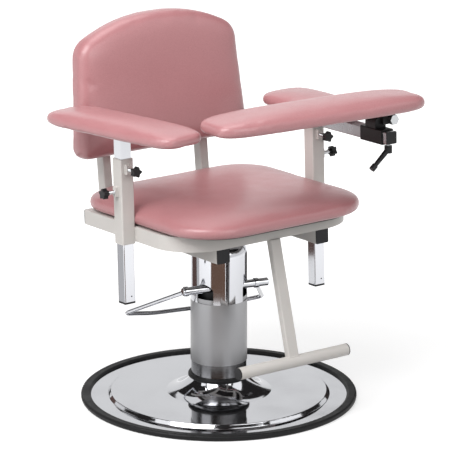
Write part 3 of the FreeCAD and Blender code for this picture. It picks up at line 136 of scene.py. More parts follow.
def powder_coat(name, dark, pale, rough, peel, shine):
    """Polyester powder coat, baked on steel tube: a faint orange peel of about 1.5 mm, with the tint and
    the gloss clouded a little by handling."""
    material, tree = new_material(name)
    place = add(tree, "ShaderNodeTexCoord").outputs["Object"]
    skin = add(tree, "ShaderNodeTexNoise", {"Vector": place, "Scale": 650.0, "Detail": 2.0})
    cloud = add(tree, "ShaderNodeTexNoise", {"Vector": place, "Scale": 14.0, "Detail": 4.0})
    tint = add(tree, "ShaderNodeMix", {"Factor": cloud.outputs["Fac"], "A": linear(dark),
                                       "B": linear(pale)}, data_type="RGBA")
    gloss = add(tree, "ShaderNodeMapRange", {
        "Value": cloud.outputs["Fac"], "From Min": 0.3, "From Max": 0.7,
        "To Min": rough - 0.05, "To Max": rough + 0.07})
    bump = add(tree, "ShaderNodeBump", {"Height": skin.outputs["Fac"], "Strength": peel,
                                        "Distance": 0.0004})
    surface(tree, add(tree, "ShaderNodeBsdfPrincipled", {
        "Base Color": tint.outputs["Result"], "Roughness": gloss.outputs["Result"],
        "Normal": bump.outputs["Normal"], "Specular IOR Level": shine}))
    return material


def vinyl(name, dark, pale, painted_crease_shade):
    """Upholstery vinyl: a calendered sheet with an embossed leather grain of about 1.4 mm, in soft clouds
    of paler and darker tint, with painted shade darkening the grain's creases, under a satin lacquer."""
    material, tree = new_material(name)
    place = add(tree, "ShaderNodeTexCoord").outputs["Object"]
    warp = add(tree, "ShaderNodeTexNoise", {"Vector": place, "Scale": 130.0, "Detail": 2.0})
    bend = add(tree, "ShaderNodeVectorMath", {0: warp.outputs["Color"], "Scale": 0.004},
               operation="SCALE")
    moved = add(tree, "ShaderNodeVectorMath", {0: place, 1: bend.outputs["Vector"]}, operation="ADD")
    cells = add(tree, "ShaderNodeTexVoronoi", {"Vector": moved.outputs["Vector"], "Scale": 700.0},
                feature="DISTANCE_TO_EDGE")
    crease = add(tree, "ShaderNodeMapRange", {"Value": cells.outputs["Distance"], "From Max": 0.22})
    cloud = add(tree, "ShaderNodeTexNoise", {"Vector": place, "Scale": 6.0, "Detail": 5.0,
                                             "Roughness": 0.6})
    pull = add(tree, "ShaderNodeTexNoise", {"Vector": place, "Scale": 24.0, "Detail": 3.0})
    tint = add(tree, "ShaderNodeMix", {"Factor": cloud.outputs["Fac"], "A": linear(dark),
                                       "B": linear(pale)}, data_type="RGBA")
    # The grain's creases get a darker colour: painted shade in the recesses of the grain.
    grain = add(tree, "ShaderNodeMix", {"Factor": crease.outputs["Result"], "A": linear(painted_crease_shade),
                                        "B": tint.outputs["Result"]}, data_type="RGBA")
    gloss = add(tree, "ShaderNodeMapRange", {
        "Value": pull.outputs["Fac"], "From Min": 0.3, "From Max": 0.7, "To Min": 0.36, "To Max": 0.45})
    fine = add(tree, "ShaderNodeBump", {"Height": crease.outputs["Result"], "Strength": 0.18,
                                        "Distance": 0.0002})
    bump = add(tree, "ShaderNodeBump", {"Height": pull.outputs["Fac"], "Strength": 0.1, "Distance": 0.003,
                                        "Normal": fine.outputs["Normal"]})
    surface(tree, add(tree, "ShaderNodeBsdfPrincipled", {
        "Base Color": grain.outputs["Result"], "Roughness": gloss.outputs["Result"],
        "Normal": bump.outputs["Normal"], "Coat Weight": 0.5, "Coat Roughness": 0.25}))
    return material


def plated(name, colour, rough, smear, brushing=None):
    """Plated or brushed steel: bright metal, smeared by handling. The brushing stretches its lines along
    the way that the belt ran, 0.6 to 1.1 mm apart so that they show, where the real ones are finer."""
    material, tree = new_material(name)
    place = add(tree, "ShaderNodeTexCoord").outputs["Object"]
    cloud = add(tree, "ShaderNodeTexNoise", {"Vector": place, "Scale": 9.0, "Detail": 5.0})
    gloss = add(tree, "ShaderNodeMapRange", {
        "Value": cloud.outputs["Fac"], "From Min": 0.3, "From Max": 0.75,
        "To Min": rough, "To Max": rough + smear})
    inputs = {"Base Color": linear(colour), "Metallic": 1.0, "Roughness": gloss.outputs["Result"]}
    if brushing:
        stretch = add(tree, "ShaderNodeMapping", {"Vector": place, "Scale": brushing})
        lines = add(tree, "ShaderNodeTexNoise", {"Vector": stretch.outputs["Vector"], "Scale": 1.0,
                                                 "Detail": 3.0})
        bump = add(tree, "ShaderNodeBump", {"Height": lines.outputs["Fac"], "Strength": 0.12,
                                            "Distance": 0.0003})
        inputs["Normal"] = bump.outputs["Normal"]
    surface(tree, add(tree, "ShaderNodeBsdfPrincipled", inputs))
    return material


def moulded(name, dark, pale, rough, grit, depth, shine):
    """Moulded rubber, nylon or painted casting: dull black, paler where its edges are worn. The grit is
    drawn 0.8 to 2.4 mm wide so that it shows, where the mould's own is finer."""
    material, tree = new_material(name)
    place = add(tree, "ShaderNodeTexCoord").outputs["Object"]
    spark = add(tree, "ShaderNodeTexNoise", {"Vector": place, "Scale": grit, "Detail": 2.0})
    cloud = add(tree, "ShaderNodeTexNoise", {"Vector": place, "Scale": 22.0, "Detail": 4.0})
    edge = add(tree, "ShaderNodeNewGeometry").outputs["Pointiness"]
    worn = add(tree, "ShaderNodeMapRange", {"Value": edge, "From Min": 0.52, "From Max": 0.62,
                                            "To Max": 0.5})
    share = add(tree, "ShaderNodeMath", {0: worn.outputs["Result"], 1: cloud.outputs["Fac"]},
                operation="MULTIPLY")
    tint = add(tree, "ShaderNodeMix", {"Factor": share.outputs[0], "A": linear(dark), "B": linear(pale)},
               data_type="RGBA")
    gloss = add(tree, "ShaderNodeMapRange", {
        "Value": cloud.outputs["Fac"], "From Min": 0.3, "From Max": 0.7,
        "To Min": rough - 0.08, "To Max": rough + 0.08})
    bump = add(tree, "ShaderNodeBump", {"Height": spark.outputs["Fac"], "Strength": depth,
                                        "Distance": 0.0003})
    surface(tree, add(tree, "ShaderNodeBsdfPrincipled", {
        "Base Color": tint.outputs["Result"], "Roughness": gloss.outputs["Result"],
        "Normal": bump.outputs["Normal"], "Specular IOR Level": shine}))
    return material


def stained_plywood(name):
    """Black-stained birch plywood, rotary cut: long grain in streaks of about 17 mm that still shows
    through the stain."""
    material, tree = new_material(name)
    place = add(tree, "ShaderNodeTexCoord").outputs["Object"]
    stretch = add(tree, "ShaderNodeMapping", {"Vector": place, "Scale": (60.0, 6.0, 9.0)})
    grain = add(tree, "ShaderNodeTexNoise", {"Vector": stretch.outputs["Vector"], "Scale": 1.0,
                                             "Detail": 5.0, "Distortion": 0.4})
    tint = add(tree, "ShaderNodeMix", {"Factor": grain.outputs["Fac"], "A": linear("#1C1A19"),
                                       "B": linear("#2B2826")}, data_type="RGBA")
    bump = add(tree, "ShaderNodeBump", {"Height": grain.outputs["Fac"], "Strength": 0.2,
                                        "Distance": 0.0004})
    surface(tree, add(tree, "ShaderNodeBsdfPrincipled", {
        "Base Color": tint.outputs["Result"], "Roughness": 0.6, "Normal": bump.outputs["Normal"],
        "Specular IOR Level": 0.3}))
    return material


MAKERS = {
    "frame_paint": lambda: powder_coat("light_grey_powder_coat", "#C6C2BE", "#CDC9C5", 0.4, 0.16, 0.4),
    # The vinyl's third colour is painted shade in the creases of its grain.
    "vinyl": lambda: vinyl("rose_upholstery_vinyl", "#B0787B", "#BB8386", "#A16D70"),
    "chrome": lambda: plated("chrome_plate", "#C4C5C9", 0.05, 0.07),
    "satin_steel": lambda: plated("satin_stainless_steel", "#98989A", 0.28, 0.1, (40.0, 40.0, 1600.0)),
    # Buffed steel for the lower shroud, a little darker than the satin steel: painted shade under the
    # cover.
    "buffed_and_shaded": lambda: plated("buffed_stainless_steel_with_painted_shade", "#8E8E90", 0.16, 0.08, (30.0, 30.0, 900.0)),
    "nickel": lambda: plated("dull_nickel_plate", "#9B9A9C", 0.24, 0.1),
    "zinc": lambda: plated("bright_zinc_plate", "#C2C4C6", 0.2, 0.16),
    "rubber": lambda: moulded("black_rubber", "#1B1B1C", "#3A3A3A", 0.5, 900.0, 0.3, 0.22),
    "plastic": lambda: moulded("black_nylon", "#18181A", "#343436", 0.42, 1300.0, 0.2, 0.22),
    "black_paint": lambda: powder_coat("black_powder_coat", "#161617", "#1D1D1E", 0.42, 0.25, 0.25),
    "iron": lambda: moulded("dark_painted_cast_iron", "#1E1F21", "#3B3C3E", 0.5, 420.0, 0.5, 0.25),
    "plywood": lambda: stained_plywood("black_stained_plywood"),
}
FINISHES = {}
# Pieces whose plating or polish differs from that of their slot. The lower shroud's buffed steel is real
# polish, and its darker tint is painted shade under the column's cover.
OWN_FINISH = {"lower_shroud": "buffed_and_shaded", "flip_rail": "nickel"}


def finish_of(slot):
    """The material of a record slot, made when it is first asked for."""
    if slot not in FINISHES:
        FINISHES[slot] = MAKERS[slot]()
    return FINISHES[slot]


# Meshes

def mesh_of(name, corners, faces, smooth=True):
    """A mesh with its faces turned outward."""
    mesh = bpy.data.meshes.new(name)
    mesh.from_pydata([tuple(corner) for corner in corners], [], faces)
    mesh.validate()
    work = bmesh.new()
    work.from_mesh(mesh)
    bmesh.ops.recalc_face_normals(work, faces=work.faces)
    work.to_mesh(mesh)
    work.free()
    for polygon in mesh.polygons:
        polygon.use_smooth = smooth
    return mesh


def loose(name, mesh):
    """An object that isn't part of the chair yet."""
    thing = bpy.data.objects.new(name, mesh)
    bpy.context.scene.collection.objects.link(thing)
    return thing


def modified(thing, kind, **settings):
    """Adds a modifier with its settings."""
    made = thing.modifiers.new(kind, kind)
    for key, value in settings.items():
        setattr(made, key, value)
    return made


def baked(thing):
    """The evaluated mesh of a thing as a plain mesh; the thing goes."""
    graph = bpy.context.evaluated_depsgraph_get()
    mesh = bpy.data.meshes.new_from_object(thing.evaluated_get(graph), depsgraph=graph)
    bpy.data.objects.remove(thing, do_unlink=True)
    return mesh


def piece(name, mesh, slot, body, *nodes):
    """A finished piece with its finish, its body and the CAD nodes that it stands for."""
    made = loose(name, mesh)
    mesh.materials.clear()
    mesh.materials.append(finish_of(slot))
    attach(made, body)
    if nodes:
        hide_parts(*nodes)
    return made


# Cushions

def inset_corners(corners, distance):
    """An anticlockwise outline with each side moved inward."""
    out = []
    count = len(corners)
    for here in range(count):
        a, b, c = (Vector(corners[(here + k) % count]) for k in (-1, 0, 1))
        before, after = (b - a).normalized(), (c - b).normalized()
        normals = Vector((-before.y, before.x)) + Vector((-after.y, after.x))
        out.append(b + normals * (2 * distance / normals.length_squared))
    return out


def rounded(corners, radii, steps=16):
    """The outline with its corners rounded, as points."""
    out = []
    count = len(corners)
    for here in range(count):
        a, b, c = (Vector(corners[(here + k) % count]) for k in (-1, 0, 1))
        to_a, to_c = (a - b).normalized(), (c - b).normalized()
        half = to_a.angle(to_c) / 2
        centre = b + (to_a + to_c).normalized() * (radii[here] / math.sin(half))
        first = b + to_a * (radii[here] / math.tan(half)) - centre
        sweep = math.pi - 2 * half
        for step in range(steps + 1):
            out.append(centre + Matrix.Rotation(sweep * step / steps, 2) @ first)
    return out


def superellipse(half_x, half_y, power, steps=140):
    """A pad's outline: long sides that bow a little into round ends."""
    out = []
    for step in range(steps):
        angle = 2 * math.pi * step / steps
        c, s = math.cos(angle), math.sin(angle)
        out.append(Vector((math.copysign(abs(c) ** (2 / power), c) * half_x,
                           math.copysign(abs(s) ** (2 / power), s) * half_y)))
    return out


def polygon_outline(corners, radii):
    """A rounded outline that can be drawn at any inset; a corner keeps 0.4 of its radius."""
    least = 0.4
    return lambda inset: rounded(inset_corners(corners, inset),
                                 [max(r - inset, r * least) for r in radii])


def pad_outline(half_x, half_y, power):
    """A pad's outline that can be drawn at any inset."""
    return lambda inset: superellipse(half_x - inset, half_y - inset, power)


class Cushion:
    """One padded piece: where it lies, its outline and its section. The section goes round a lip, up a
    band, over an edge and on to a crown, whose reach is the way from the edge to the middle."""

    def __init__(self, node, body, place, outline, middle, lip, thick, band, shoulder, edge, bend, reach,
                 fill, dent=lambda x, y, z: (x, y, z)):
        self.node = node
        self.body = body
        self.place = place
        self.outline = outline
        self.middle = Vector(middle)
        self.lip = lip
        self.thick = thick
        self.band = band
        self.shoulder = shoulder
        self.edge = edge
        self.bend = math.radians(bend)
        self.reach = reach
        self.fill = fill
        self.dent = dent

    def form(self, shrink):
        """The closed crowned form, smaller on every side by the swell that it will get."""
        lip_steps, edge_steps, crown_steps = 6, 10, 15
        rings = []
        for step in range(lip_steps):
            angle = math.pi / 2 * (1 - step / lip_steps)
            rings.append((self.lip[0] * (1 - math.cos(angle)), self.lip[1] * (1 - math.sin(angle))))
        rise = (self.shoulder - self.band) / math.sin(self.bend)
        for step in range(edge_steps + 1):
            angle = self.bend * step / edge_steps
            rings.append((self.edge * (1 - math.cos(angle)), self.band + rise * math.sin(angle)))
        slope = rise * math.cos(self.bend) / (self.edge * math.sin(self.bend))
        left = self.thick - shrink - self.shoulder
        power = max(slope * self.reach / left, 2.0)
        stack = [(height, self.outline(inset + shrink)) for inset, height in rings]
        rim = stack[-1][1]
        for step in range(1, crown_steps):
            scale = 1 - step / crown_steps
            stack.append((self.shoulder + left * (1 - scale ** power),
                          [self.middle + (point - self.middle) * scale for point in rim]))
        corners = [self.place(*self.dent(point.x, point.y, height))
                   for height, ring in stack for point in ring]
        corners.append(self.place(self.middle.x, self.middle.y, self.thick - shrink))
        count = len(rim)
        top = (len(stack) - 1) * count
        faces = [(low + k, low + (k + 1) % count, low + count + (k + 1) % count, low + count + k)
                 for low in range(0, top, count) for k in range(count)]
        faces += [(top + k, top + (k + 1) % count, len(corners) - 1) for k in range(count)]
        faces.append(tuple(reversed(range(count))))
        return mesh_of(self.node, corners, faces)

    def keep_on_board(self, mesh):
        """Lifts points that sank under the cushion's flat back."""
        low = self.place(0, 0, 0)
        out = (self.place(0, 0, 1) - low).normalized()
        for vertex in mesh.vertices:
            under = (vertex.co - low).dot(out)
            if under < 0:
                vertex.co -= out * under


def seat_dent(x, y, z):
    """The post sleeves press the seat's sides in and down; before and behind them the foam swells."""
    press, sink = 15, 0.24
    pressed, sunk = 30, 75
    flat_middle, fade = 130, 150
    near = math.exp(-(abs(y - POST_LINE) / pressed) ** 4)
    valley = math.exp(-((y - POST_LINE) / sunk) ** 2)
    far = min(max((abs(x) - flat_middle) / fade, 0), 1)
    return x - math.copysign(press * near * far * far, x), y, z * (1 - sink * valley * far)


def turned(x0, y0, z0, yaw):
    """A placing on the arms: about a middle, turned by yaw degrees."""
    c, s = math.cos(math.radians(yaw)), math.sin(math.radians(yaw))
    return lambda x, y, z: upper(x0 + x * c - y * s, y0 + x * s + y * c, z0 + z)


def cushions():
    """The five padded pieces. Their sections are in millimetres, and their edges bend by degrees."""
    half, front, rear = 287.5, -325, 251
    seat = [(-half, front), (half, front), (half, rear), (-half, rear)]
    back = [(-272, 0), (272, 0), (249, 303), (120, 369), (-120, 369), (-249, 303)]
    return [
        Cushion("seat_cushion", "seat", lambda x, y, z: upper(x, y, SEAT_BOARD_TOP + z),
                polygon_outline(seat, [140, 140, 115, 115]), middle=(0, -30), lip=(15, 12), thick=56,
                band=16, shoulder=30, edge=14, bend=66, reach=232, fill=0.85, dent=seat_dent),
        Cushion("back_cushion", "seat", lambda x, y, z: backrest(x, BACK_FOOT + y, BACK_BOARD_FACE + z),
                polygon_outline(back, [34, 34, 62, 450, 450, 62]), middle=(0, 165), lip=(6, 8),
                thick=67.5, band=30, shoulder=56, edge=29, bend=74, reach=208, fill=0.85),
        Cushion("right_arm_pad", "right_arm", turned(-296.1, -18.2, 751.8, yaw=7.6),
                pad_outline(81, 248, 4.6), middle=(0, 0), lip=(12, 8), thick=44, band=16, shoulder=28,
                edge=18, bend=58, reach=64, fill=0.9),
        Cushion("left_arm_pad", "left_arm", turned(POST_PLACE, POST_LINE, 723.9, yaw=0),
                pad_outline(80, 166, 4.0), middle=(0, 0), lip=(12, 8), thick=43, band=16, shoulder=27.5,
                edge=18, bend=58, reach=64, fill=0.9),
        Cushion("flip_pad", "flip_arm", turned(89, -300, 775.4, yaw=-4.5),
                pad_outline(312, 89.5, 4.6), middle=(0, 0), lip=(12, 8), thick=48.5, band=17, shoulder=31,
                edge=20, bend=58, reach=72, fill=0.9),
    ]


# Welds and threads

def weld_tree():
    """Overlapping flattened beads along each edge of the geometry that it gets."""
    tree = bpy.data.node_groups.new("weld_beads", "GeometryNodeTree")
    for name, kind, value in (
            ("Geometry", "Geometry", None), ("Radius", "Float", 0.002), ("Pitch", "Float", 0.0016),
            ("Seed", "Int", 7), ("Material", "Material", None)):
        socket = tree.interface.new_socket(name, in_out="INPUT", socket_type="NodeSocket" + kind)
        if value is not None:
            socket.default_value = value
    tree.interface.new_socket("Geometry", in_out="OUTPUT", socket_type="NodeSocketGeometry")
    given = add(tree, "NodeGroupInput").outputs
    path = add(tree, "GeometryNodeMeshToCurve", {"Mesh": given["Geometry"]})
    points = add(tree, "GeometryNodeCurveToPoints", {"Curve": path.outputs[0], "Length": given["Pitch"]},
                 mode="LENGTH")
    bead = add(tree, "GeometryNodeMeshIcoSphere", {"Radius": given["Radius"], "Subdivisions": 2})
    uneven = add(tree, "FunctionNodeRandomValue", {0: (0.9, 0.9, 0.5), 1: (1.12, 1.12, 0.75),
                                                   "Seed": given["Seed"]}, data_type="FLOAT_VECTOR")
    chain = add(tree, "GeometryNodeInstanceOnPoints", {
        "Points": points.outputs["Points"], "Instance": bead.outputs["Mesh"],
        "Rotation": points.outputs["Rotation"], "Scale": uneven.outputs[0]})
    real = add(tree, "GeometryNodeRealizeInstances", {0: chain.outputs[0]})
    painted = add(tree, "GeometryNodeSetMaterial", {"Geometry": real.outputs[0],
                                                    "Material": given["Material"]})
    add(tree, "NodeGroupOutput", {0: painted.outputs[0]})
    return tree


def weld(name, lines, body, tree):
    """Weld beads along lines of places, 0.8 of their radius apart, as one piece of a body."""
    corners, edges = [], []
    for line in lines:
        edges += [(len(corners) + k, len(corners) + k + 1) for k in range(len(line) - 1)]
        corners += [tuple(place) for place in line]
    mesh = bpy.data.meshes.new(name + "_path")
    mesh.from_pydata(corners, edges, [])
    thing = loose(name + "_path", mesh)
    maker = modified(thing, "NODES", node_group=tree)
    values = {"Radius": sizes().weld, "Pitch": sizes().weld * 0.8, "Material": finish_of("frame_paint")}
    for item in tree.interface.items_tree:
        if item.in_out == "INPUT" and item.name in values:
            maker[item.identifier] = values[item.name]
    made = baked(thing)
    for polygon in made.polygons:
        polygon.use_smooth = True
    return piece(name, made, "frame_paint", body)


def loop(place, half_x, half_y, round_off=2.0):
    """A closed line round a rectangle with cut corners."""
    a, b, c = half_x, half_y, round_off
    spots = [(-a + c, -b), (a - c, -b), (a, -b + c), (a, b - c),
             (a - c, b), (-a + c, b), (-a, b - c), (-a, -b + c)]
    return [place(x, y) for x, y in spots + spots[:1]]


def thread(name, place, length, radius, body, pitch=1.25, depth=0.5):
    """A zinc-plated screw thread over a bare stud: one helical ridge along z of the placing."""
    around, along = 24, 6
    rows = int(length / pitch * along)
    corners = []
    for row in range(rows + 1):
        z = length * row / rows
        for k in range(around):
            angle = 2 * math.pi * k / around
            here = radius - depth * abs(2 * ((z / pitch - k / around) % 1) - 1)
            corners.append(place(here * math.cos(angle), here * math.sin(angle), z))
    top = rows * around
    faces = [(low + k, low + (k + 1) % around, low + around + (k + 1) % around, low + around + k)
             for low in range(0, top, around) for k in range(around)]
    faces += [tuple(reversed(range(around))), tuple(top + k for k in range(around))]
    return piece(name, mesh_of(name, corners, faces), "zinc", body)


# Operators

class ChairSizes(bpy.types.PropertyGroup):
    """Sizes and colours that a user would change."""
    swell: bpy.props.FloatProperty(
        name="Cushion swell", description="How far the foam may puff its vinyl out",
        default=0.003, min=0.0, max=0.008, unit="LENGTH")
    voxel: bpy.props.FloatProperty(
        name="Cushion mesh", description="Mesh size of the simulated cushions",
        default=0.006, min=0.004, max=0.01, unit="LENGTH")
    weld: bpy.props.FloatProperty(
        name="Weld size", description="Radius of the weld beads",
        default=0.0019, min=0.001, max=0.004, unit="LENGTH")
    floor: bpy.props.FloatVectorProperty(
        name="Floor colour", description="Colour of the floor under the chair",
        subtype="COLOR", size=3, default=(0.55, 0.55, 0.55), min=0, max=1)


def sizes():
    """The values that the panel shows."""
    return bpy.context.scene.chair_sizes


class CHAIR_OT_finishes(bpy.types.Operator):
    """Give every carried-over piece its real finish"""
    bl_idname = "chair.finishes"
    bl_label = "Finishes"

    def execute(self, context):
        for entry in frame["record"]["subparts"]:
            for holder in NODES[entry["node"]].material_slots:
                holder.material = finish_of(OWN_FINISH.get(entry["node"], entry["material_slot"]))
        return {"FINISHED"}


class CHAIR_OT_cushions(bpy.types.Operator):
    """Form the five vinyl cushions and let cloth settle over their foam"""
    bl_idname = "chair.cushions"
    bl_label = "Cushions"

    def execute(self, context):
        swell = sizes().swell
        covers = []
        for cushion in cushions():
            rough = loose(cushion.node + "_form", cushion.form(swell / MM))
            modified(rough, "REMESH", mode="VOXEL", voxel_size=sizes().voxel)
            modified(rough, "SMOOTH", factor=0.5, iterations=4)
            mesh = baked(rough)
            cover = loose(cushion.node + "_cover", mesh)
            covers.append((cushion, cover, [v.co.copy() for v in mesh.vertices]))
        self.settle(context, [cover for _, cover, _ in covers])
        graph = context.evaluated_depsgraph_get()
        for cushion, cover, start in covers:
            mesh = bpy.data.meshes.new_from_object(cover.evaluated_get(graph), depsgraph=graph)
            for vertex, old in zip(mesh.vertices, start):
                move = vertex.co - old
                vertex.co = old + move * min(1, swell / max(move.length, 1e-9))
            smooth = loose(cushion.node + "_smooth", mesh)
            modified(smooth, "SMOOTH", factor=0.5, iterations=2)
            modified(smooth, "SUBSURF", levels=1, render_levels=1)
            done = baked(smooth)
            cushion.keep_on_board(done)
            for polygon in done.polygons:
                polygon.use_smooth = True
            soft = piece(cushion.node + "_soft", done, "vinyl", cushion.body, cushion.node)
        for _, cover, _ in covers:
            bpy.data.objects.remove(cover, do_unlink=True)
        context.scene.frame_set(1)
        return {"FINISHED"}

    def settle(self, context, covers):
        """Cloth under light pressure, without gravity."""
        frames = 20
        for cover in covers:
            cloth = modified(cover, "CLOTH").settings
            cloth.quality = 5
            cloth.mass = 0.4
            cloth.tension_stiffness = cloth.compression_stiffness = 25
            cloth.bending_stiffness = 2.0
            cloth.use_pressure = True
            cloth.uniform_pressure_force = 4.0
            cloth.effector_weights.gravity = 0.0
        for number in range(1, frames + 1):
            context.scene.frame_set(number)


class CHAIR_OT_hardware(bpy.types.Operator):
    """Add the knobs' threaded studs and the frame's weld beads"""
    bl_idname = "chair.hardware"
    bl_label = "Studs and welds"

    def execute(self, context):
        tree = weld_tree()
        inside = 3
        lines = []
        for side, hand in ((-1, "right"), (1, "left")):
            lines += self.post(side, hand)
            edge = (POST_PLACE - STOCK_HALF) * side
            for line in (POST_LINE - STOCK_HALF, POST_LINE + STOCK_HALF):
                lines.append([upper(edge, line, FRAME_FOOT + inside),
                              upper(edge, line, FRAME_TOP - inside)])
        lines.append(self.foot_ring())
        weld("frame_welds", lines, "seat", tree)
        return {"FINISHED"}

    def post(self, side, hand):
        """The threads of one post's knobs; gives the weld lines round the two nuts."""
        face = STOCK_HALF + PROUD

        def front(x, y, z):
            return upper(POST_PLACE * side + x, POST_LINE - face - z, FRONT_KNOB + y)

        def outer(x, y, z):
            return upper((POST_PLACE + face + z) * side, POST_LINE + x, SIDE_KNOB + y)

        lines = []
        for place, name in ((front, "front"), (outer, "side")):
            thread("%s_%s_thread" % (hand, name), lambda x, y, z: place(x, y, z + NUT_THICK), STUD_THREAD,
                   STUD_RADIUS, "knob_%s_%s" % (hand, name))
            lines.append(loop(lambda x, y: place(x, y, PROUD), *NUT_HALF))
        return lines

    def foot_ring(self):
        """Where the footrest's flat down tube, with its rounded corners, meets its round bar."""
        lean = math.radians(FOOT_LEAN)
        wide, flat, corner, face = 15.9, 8, 9, 9.6
        spots = [(-wide, -corner), (-flat, -face), (flat, -face), (wide, -corner),
                 (wide, corner), (flat, face), (-flat, face), (-wide, corner)]
        line = []
        for x, deep in spots + spots[:1]:
            along = FOOT_REACH - math.sqrt(BAR_RADIUS ** 2 - deep ** 2) - PROUD
            line.append(upper(x, FOOT_LINE - along * math.sin(lean) + deep * math.cos(lean),
                              FOOT_START - along * math.cos(lean) - deep * math.sin(lean)))
        return line


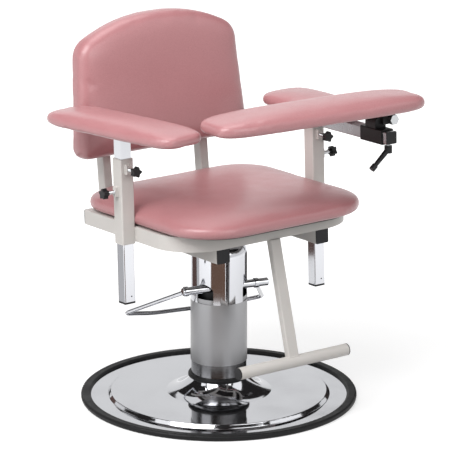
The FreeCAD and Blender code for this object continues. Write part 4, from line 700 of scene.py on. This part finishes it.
class CHAIR_OT_stage(bpy.types.Operator):
    """Set the floor, the lamps, the cards, the world and the camera"""
    bl_idname = "chair.stage"
    bl_label = "Stage"

    def execute(self, context):
        scene = context.scene
        scene.view_settings.view_transform = "Standard"
        self.floor()
        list(self.cards())
        self.air(scene)
        self.lamps(scene)
        self.camera(scene)
        return {"FINISHED"}

    def seen(self, tree):
        """One for camera, glossy and transmission rays."""
        rays = add(tree, "ShaderNodeLightPath").outputs
        share = add(tree, "ShaderNodeMath", {0: rays["Is Camera Ray"], 1: rays["Is Glossy Ray"]},
                    operation="MAXIMUM")
        return add(tree, "ShaderNodeMath", {0: share.outputs[0], 1: rays["Is Transmission Ray"]},
                   operation="MAXIMUM").outputs[0]

    def floor(self):
        """Paper that looks white, keeps the shadow and throws little light back up."""
        half = 30
        corners = [(-half, -half, 0), (half, -half, 0), (half, half, 0), (-half, half, 0)]
        mesh = mesh_of("studio_floor", corners, [(0, 1, 2, 3)], smooth=False)
        material, tree = new_material("studio_paper")
        place = add(tree, "ShaderNodeTexCoord").outputs["Object"]
        far = add(tree, "ShaderNodeVectorMath", {0: place}, operation="LENGTH")
        lift = add(tree, "ShaderNodeMapRange", {
            "Value": far.outputs["Value"], "From Min": 0.5, "From Max": 2.0,
            "To Min": 0.55, "To Max": 1.0}, interpolation_type="SMOOTHSTEP")
        level = add(tree, "ShaderNodeMath", {0: self.seen(tree), 1: lift.outputs["Result"]},
                    operation="MULTIPLY")
        paper = add(tree, "ShaderNodeBsdfDiffuse", {"Color": tuple(sizes().floor) + (1.0,)})
        glow = add(tree, "ShaderNodeEmission", {"Strength": level.outputs[0]})
        surface(tree, add(tree, "ShaderNodeAddShader", {0: paper.outputs[0], 1: glow.outputs[0]}))
        mesh.materials.append(material)
        return loose("studio_floor", mesh)

    def cards(self):
        """Cards that only reflections show: brown, dark and pale stripes for the column, and a dark one
        overhead. A stripe goes round from one azimuth to another, in degrees, up to a height in metres."""
        radius, steps = 0.94, 12
        made = []
        for name, colour, start, end, high in (
                ("brown_card", "#7C6254", -66, -10, 0.3), ("line_card", "#2A2220", -8, 4, 0.3),
                ("edge_card", "#3A3230", 94, 122, 0.2), ("rear_card", "#6A5652", -168, -134, 0.2),
                ("grey_card", "#DCDCDD", -134, -119, 0.36)):
            corners = []
            for step in range(steps + 1):
                a = math.radians(start + (end - start) * step / steps)
                corners += [(math.sin(a) * radius, -math.cos(a) * radius, z) for z in (0.001, high)]
            faces = [(k, k + 2, k + 3, k + 1) for k in range(0, 2 * steps, 2)]
            made.append((name, colour, corners, faces))
        half, front, rear, high = 20, -15, 12.4, 6
        corners = [(-half, front, high), (-half, rear, high), (half, rear, high), (half, front, high)]
        made.append(("overhead_card", "#2C2A2A", corners, [(0, 1, 2, 3)]))
        out = []
        for name, colour, corners, faces in made:
            mesh = mesh_of(name, corners, faces, smooth=False)
            material, tree = new_material(name)
            surface(tree, add(tree, "ShaderNodeEmission", {"Color": linear(colour), "Strength": 1.0}))
            mesh.materials.append(material)
            thing = loose(name, mesh)
            thing.visible_camera = thing.visible_diffuse = False
            thing.visible_shadow = thing.visible_transmission = False
            out.append(thing)
        return out

    def air(self, scene):
        """White where it is seen, softer where it lights."""
        world = bpy.data.worlds.new("studio_air")
        scene.world = world
        world.use_nodes = True
        tree = world.node_tree
        tree.nodes.clear()
        level = add(tree, "ShaderNodeMapRange", {"Value": self.seen(tree), "To Min": 0.1, "To Max": 1.0})
        air = add(tree, "ShaderNodeBackground", {"Color": (1, 1, 1, 1),
                                                 "Strength": level.outputs["Result"]})
        add(tree, "ShaderNodeOutputWorld", {"Surface": air.outputs[0]})

    def lamps(self, scene):
        """Square softboxes round the chair: azimuth and height in degrees, width in metres and watts."""
        middle, distance = Vector((0, 0, 0.5)), 3.4
        for name, azimuth, elevation, width, power in (
                ("softbox_key", -72, 50, 2.2, 106), ("softbox_side", -90, 24, 2.6, 31),
                ("softbox_front", 0, 30, 2.0, 36), ("softbox_right", 50, 35, 1.8, 14),
                ("softbox_top", 144, 82, 2.0, 41), ("softbox_rear", 150, 44, 2.4, 18)):
            a, e = math.radians(azimuth), math.radians(elevation)
            way = Vector((math.sin(a) * math.cos(e), -math.cos(a) * math.cos(e), math.sin(e)))
            lamp = bpy.data.lights.new(name, "AREA")
            lamp.shape = "SQUARE"
            lamp.size = width
            lamp.energy = power
            holder = bpy.data.objects.new(name, lamp)
            scene.collection.objects.link(holder)
            holder.location = middle + way * distance
            holder.rotation_euler = (-way).to_track_quat("-Z", "Y").to_euler()

    def camera(self, scene):
        """The photograph's view, aimed a little beside and above the column's middle."""
        azimuth, elevation, distance = math.radians(-35.509), math.radians(16.262), 8.6094
        aside, above = 0.016, 0.15569
        away = Vector((math.sin(azimuth) * math.cos(elevation), -math.cos(azimuth) * math.cos(elevation),
                       math.sin(elevation)))
        right = Vector((math.cos(azimuth), math.sin(azimuth), 0))
        up = away.cross(right)
        lens = bpy.data.cameras.new("camera")
        lens.sensor_fit = "HORIZONTAL"
        lens.sensor_width = 36.0
        lens.lens = 266.576
        lens.clip_end = 60.0
        holder = bpy.data.objects.new("camera", lens)
        scene.collection.objects.link(holder)
        holder.location = Vector((0, 0, 0.3)) + right * aside + up * above + away * distance
        holder.rotation_euler = Matrix((right, up, away)).transposed().to_euler()
        scene.camera = holder


class CHAIR_PT_panel(bpy.types.Panel):
    """Lists the chair's sizes and operators"""
    bl_idname = "CHAIR_PT_panel"
    bl_label = "Phlebotomy chair"
    bl_space_type = "VIEW_3D"
    bl_region_type = "UI"
    bl_category = "Chair"

    def draw(self, context):
        for key in ("swell", "voxel", "weld", "floor"):
            self.layout.prop(context.scene.chair_sizes, key)
        for operator in OPERATORS:
            self.layout.operator(operator.bl_idname)


OPERATORS = [CHAIR_OT_stage, CHAIR_OT_finishes, CHAIR_OT_cushions, CHAIR_OT_hardware]
CLASSES = [ChairSizes] + OPERATORS + [CHAIR_PT_panel]


def register():
    """Makes the classes and the scene's sizes known to Blender."""
    for item in CLASSES:
        bpy.utils.register_class(item)
    bpy.types.Scene.chair_sizes = bpy.props.PointerProperty(type=ChairSizes)


def unregister():
    """Takes back what register did."""
    del bpy.types.Scene.chair_sizes
    for item in reversed(CLASSES):
        bpy.utils.unregister_class(item)


def main():
    """Builds the chair."""
    register()
    for operator in OPERATORS:
        group, name = operator.bl_idname.split(".")
        getattr(getattr(bpy.ops, group), name)()


if __name__ == "__main__":
    main()
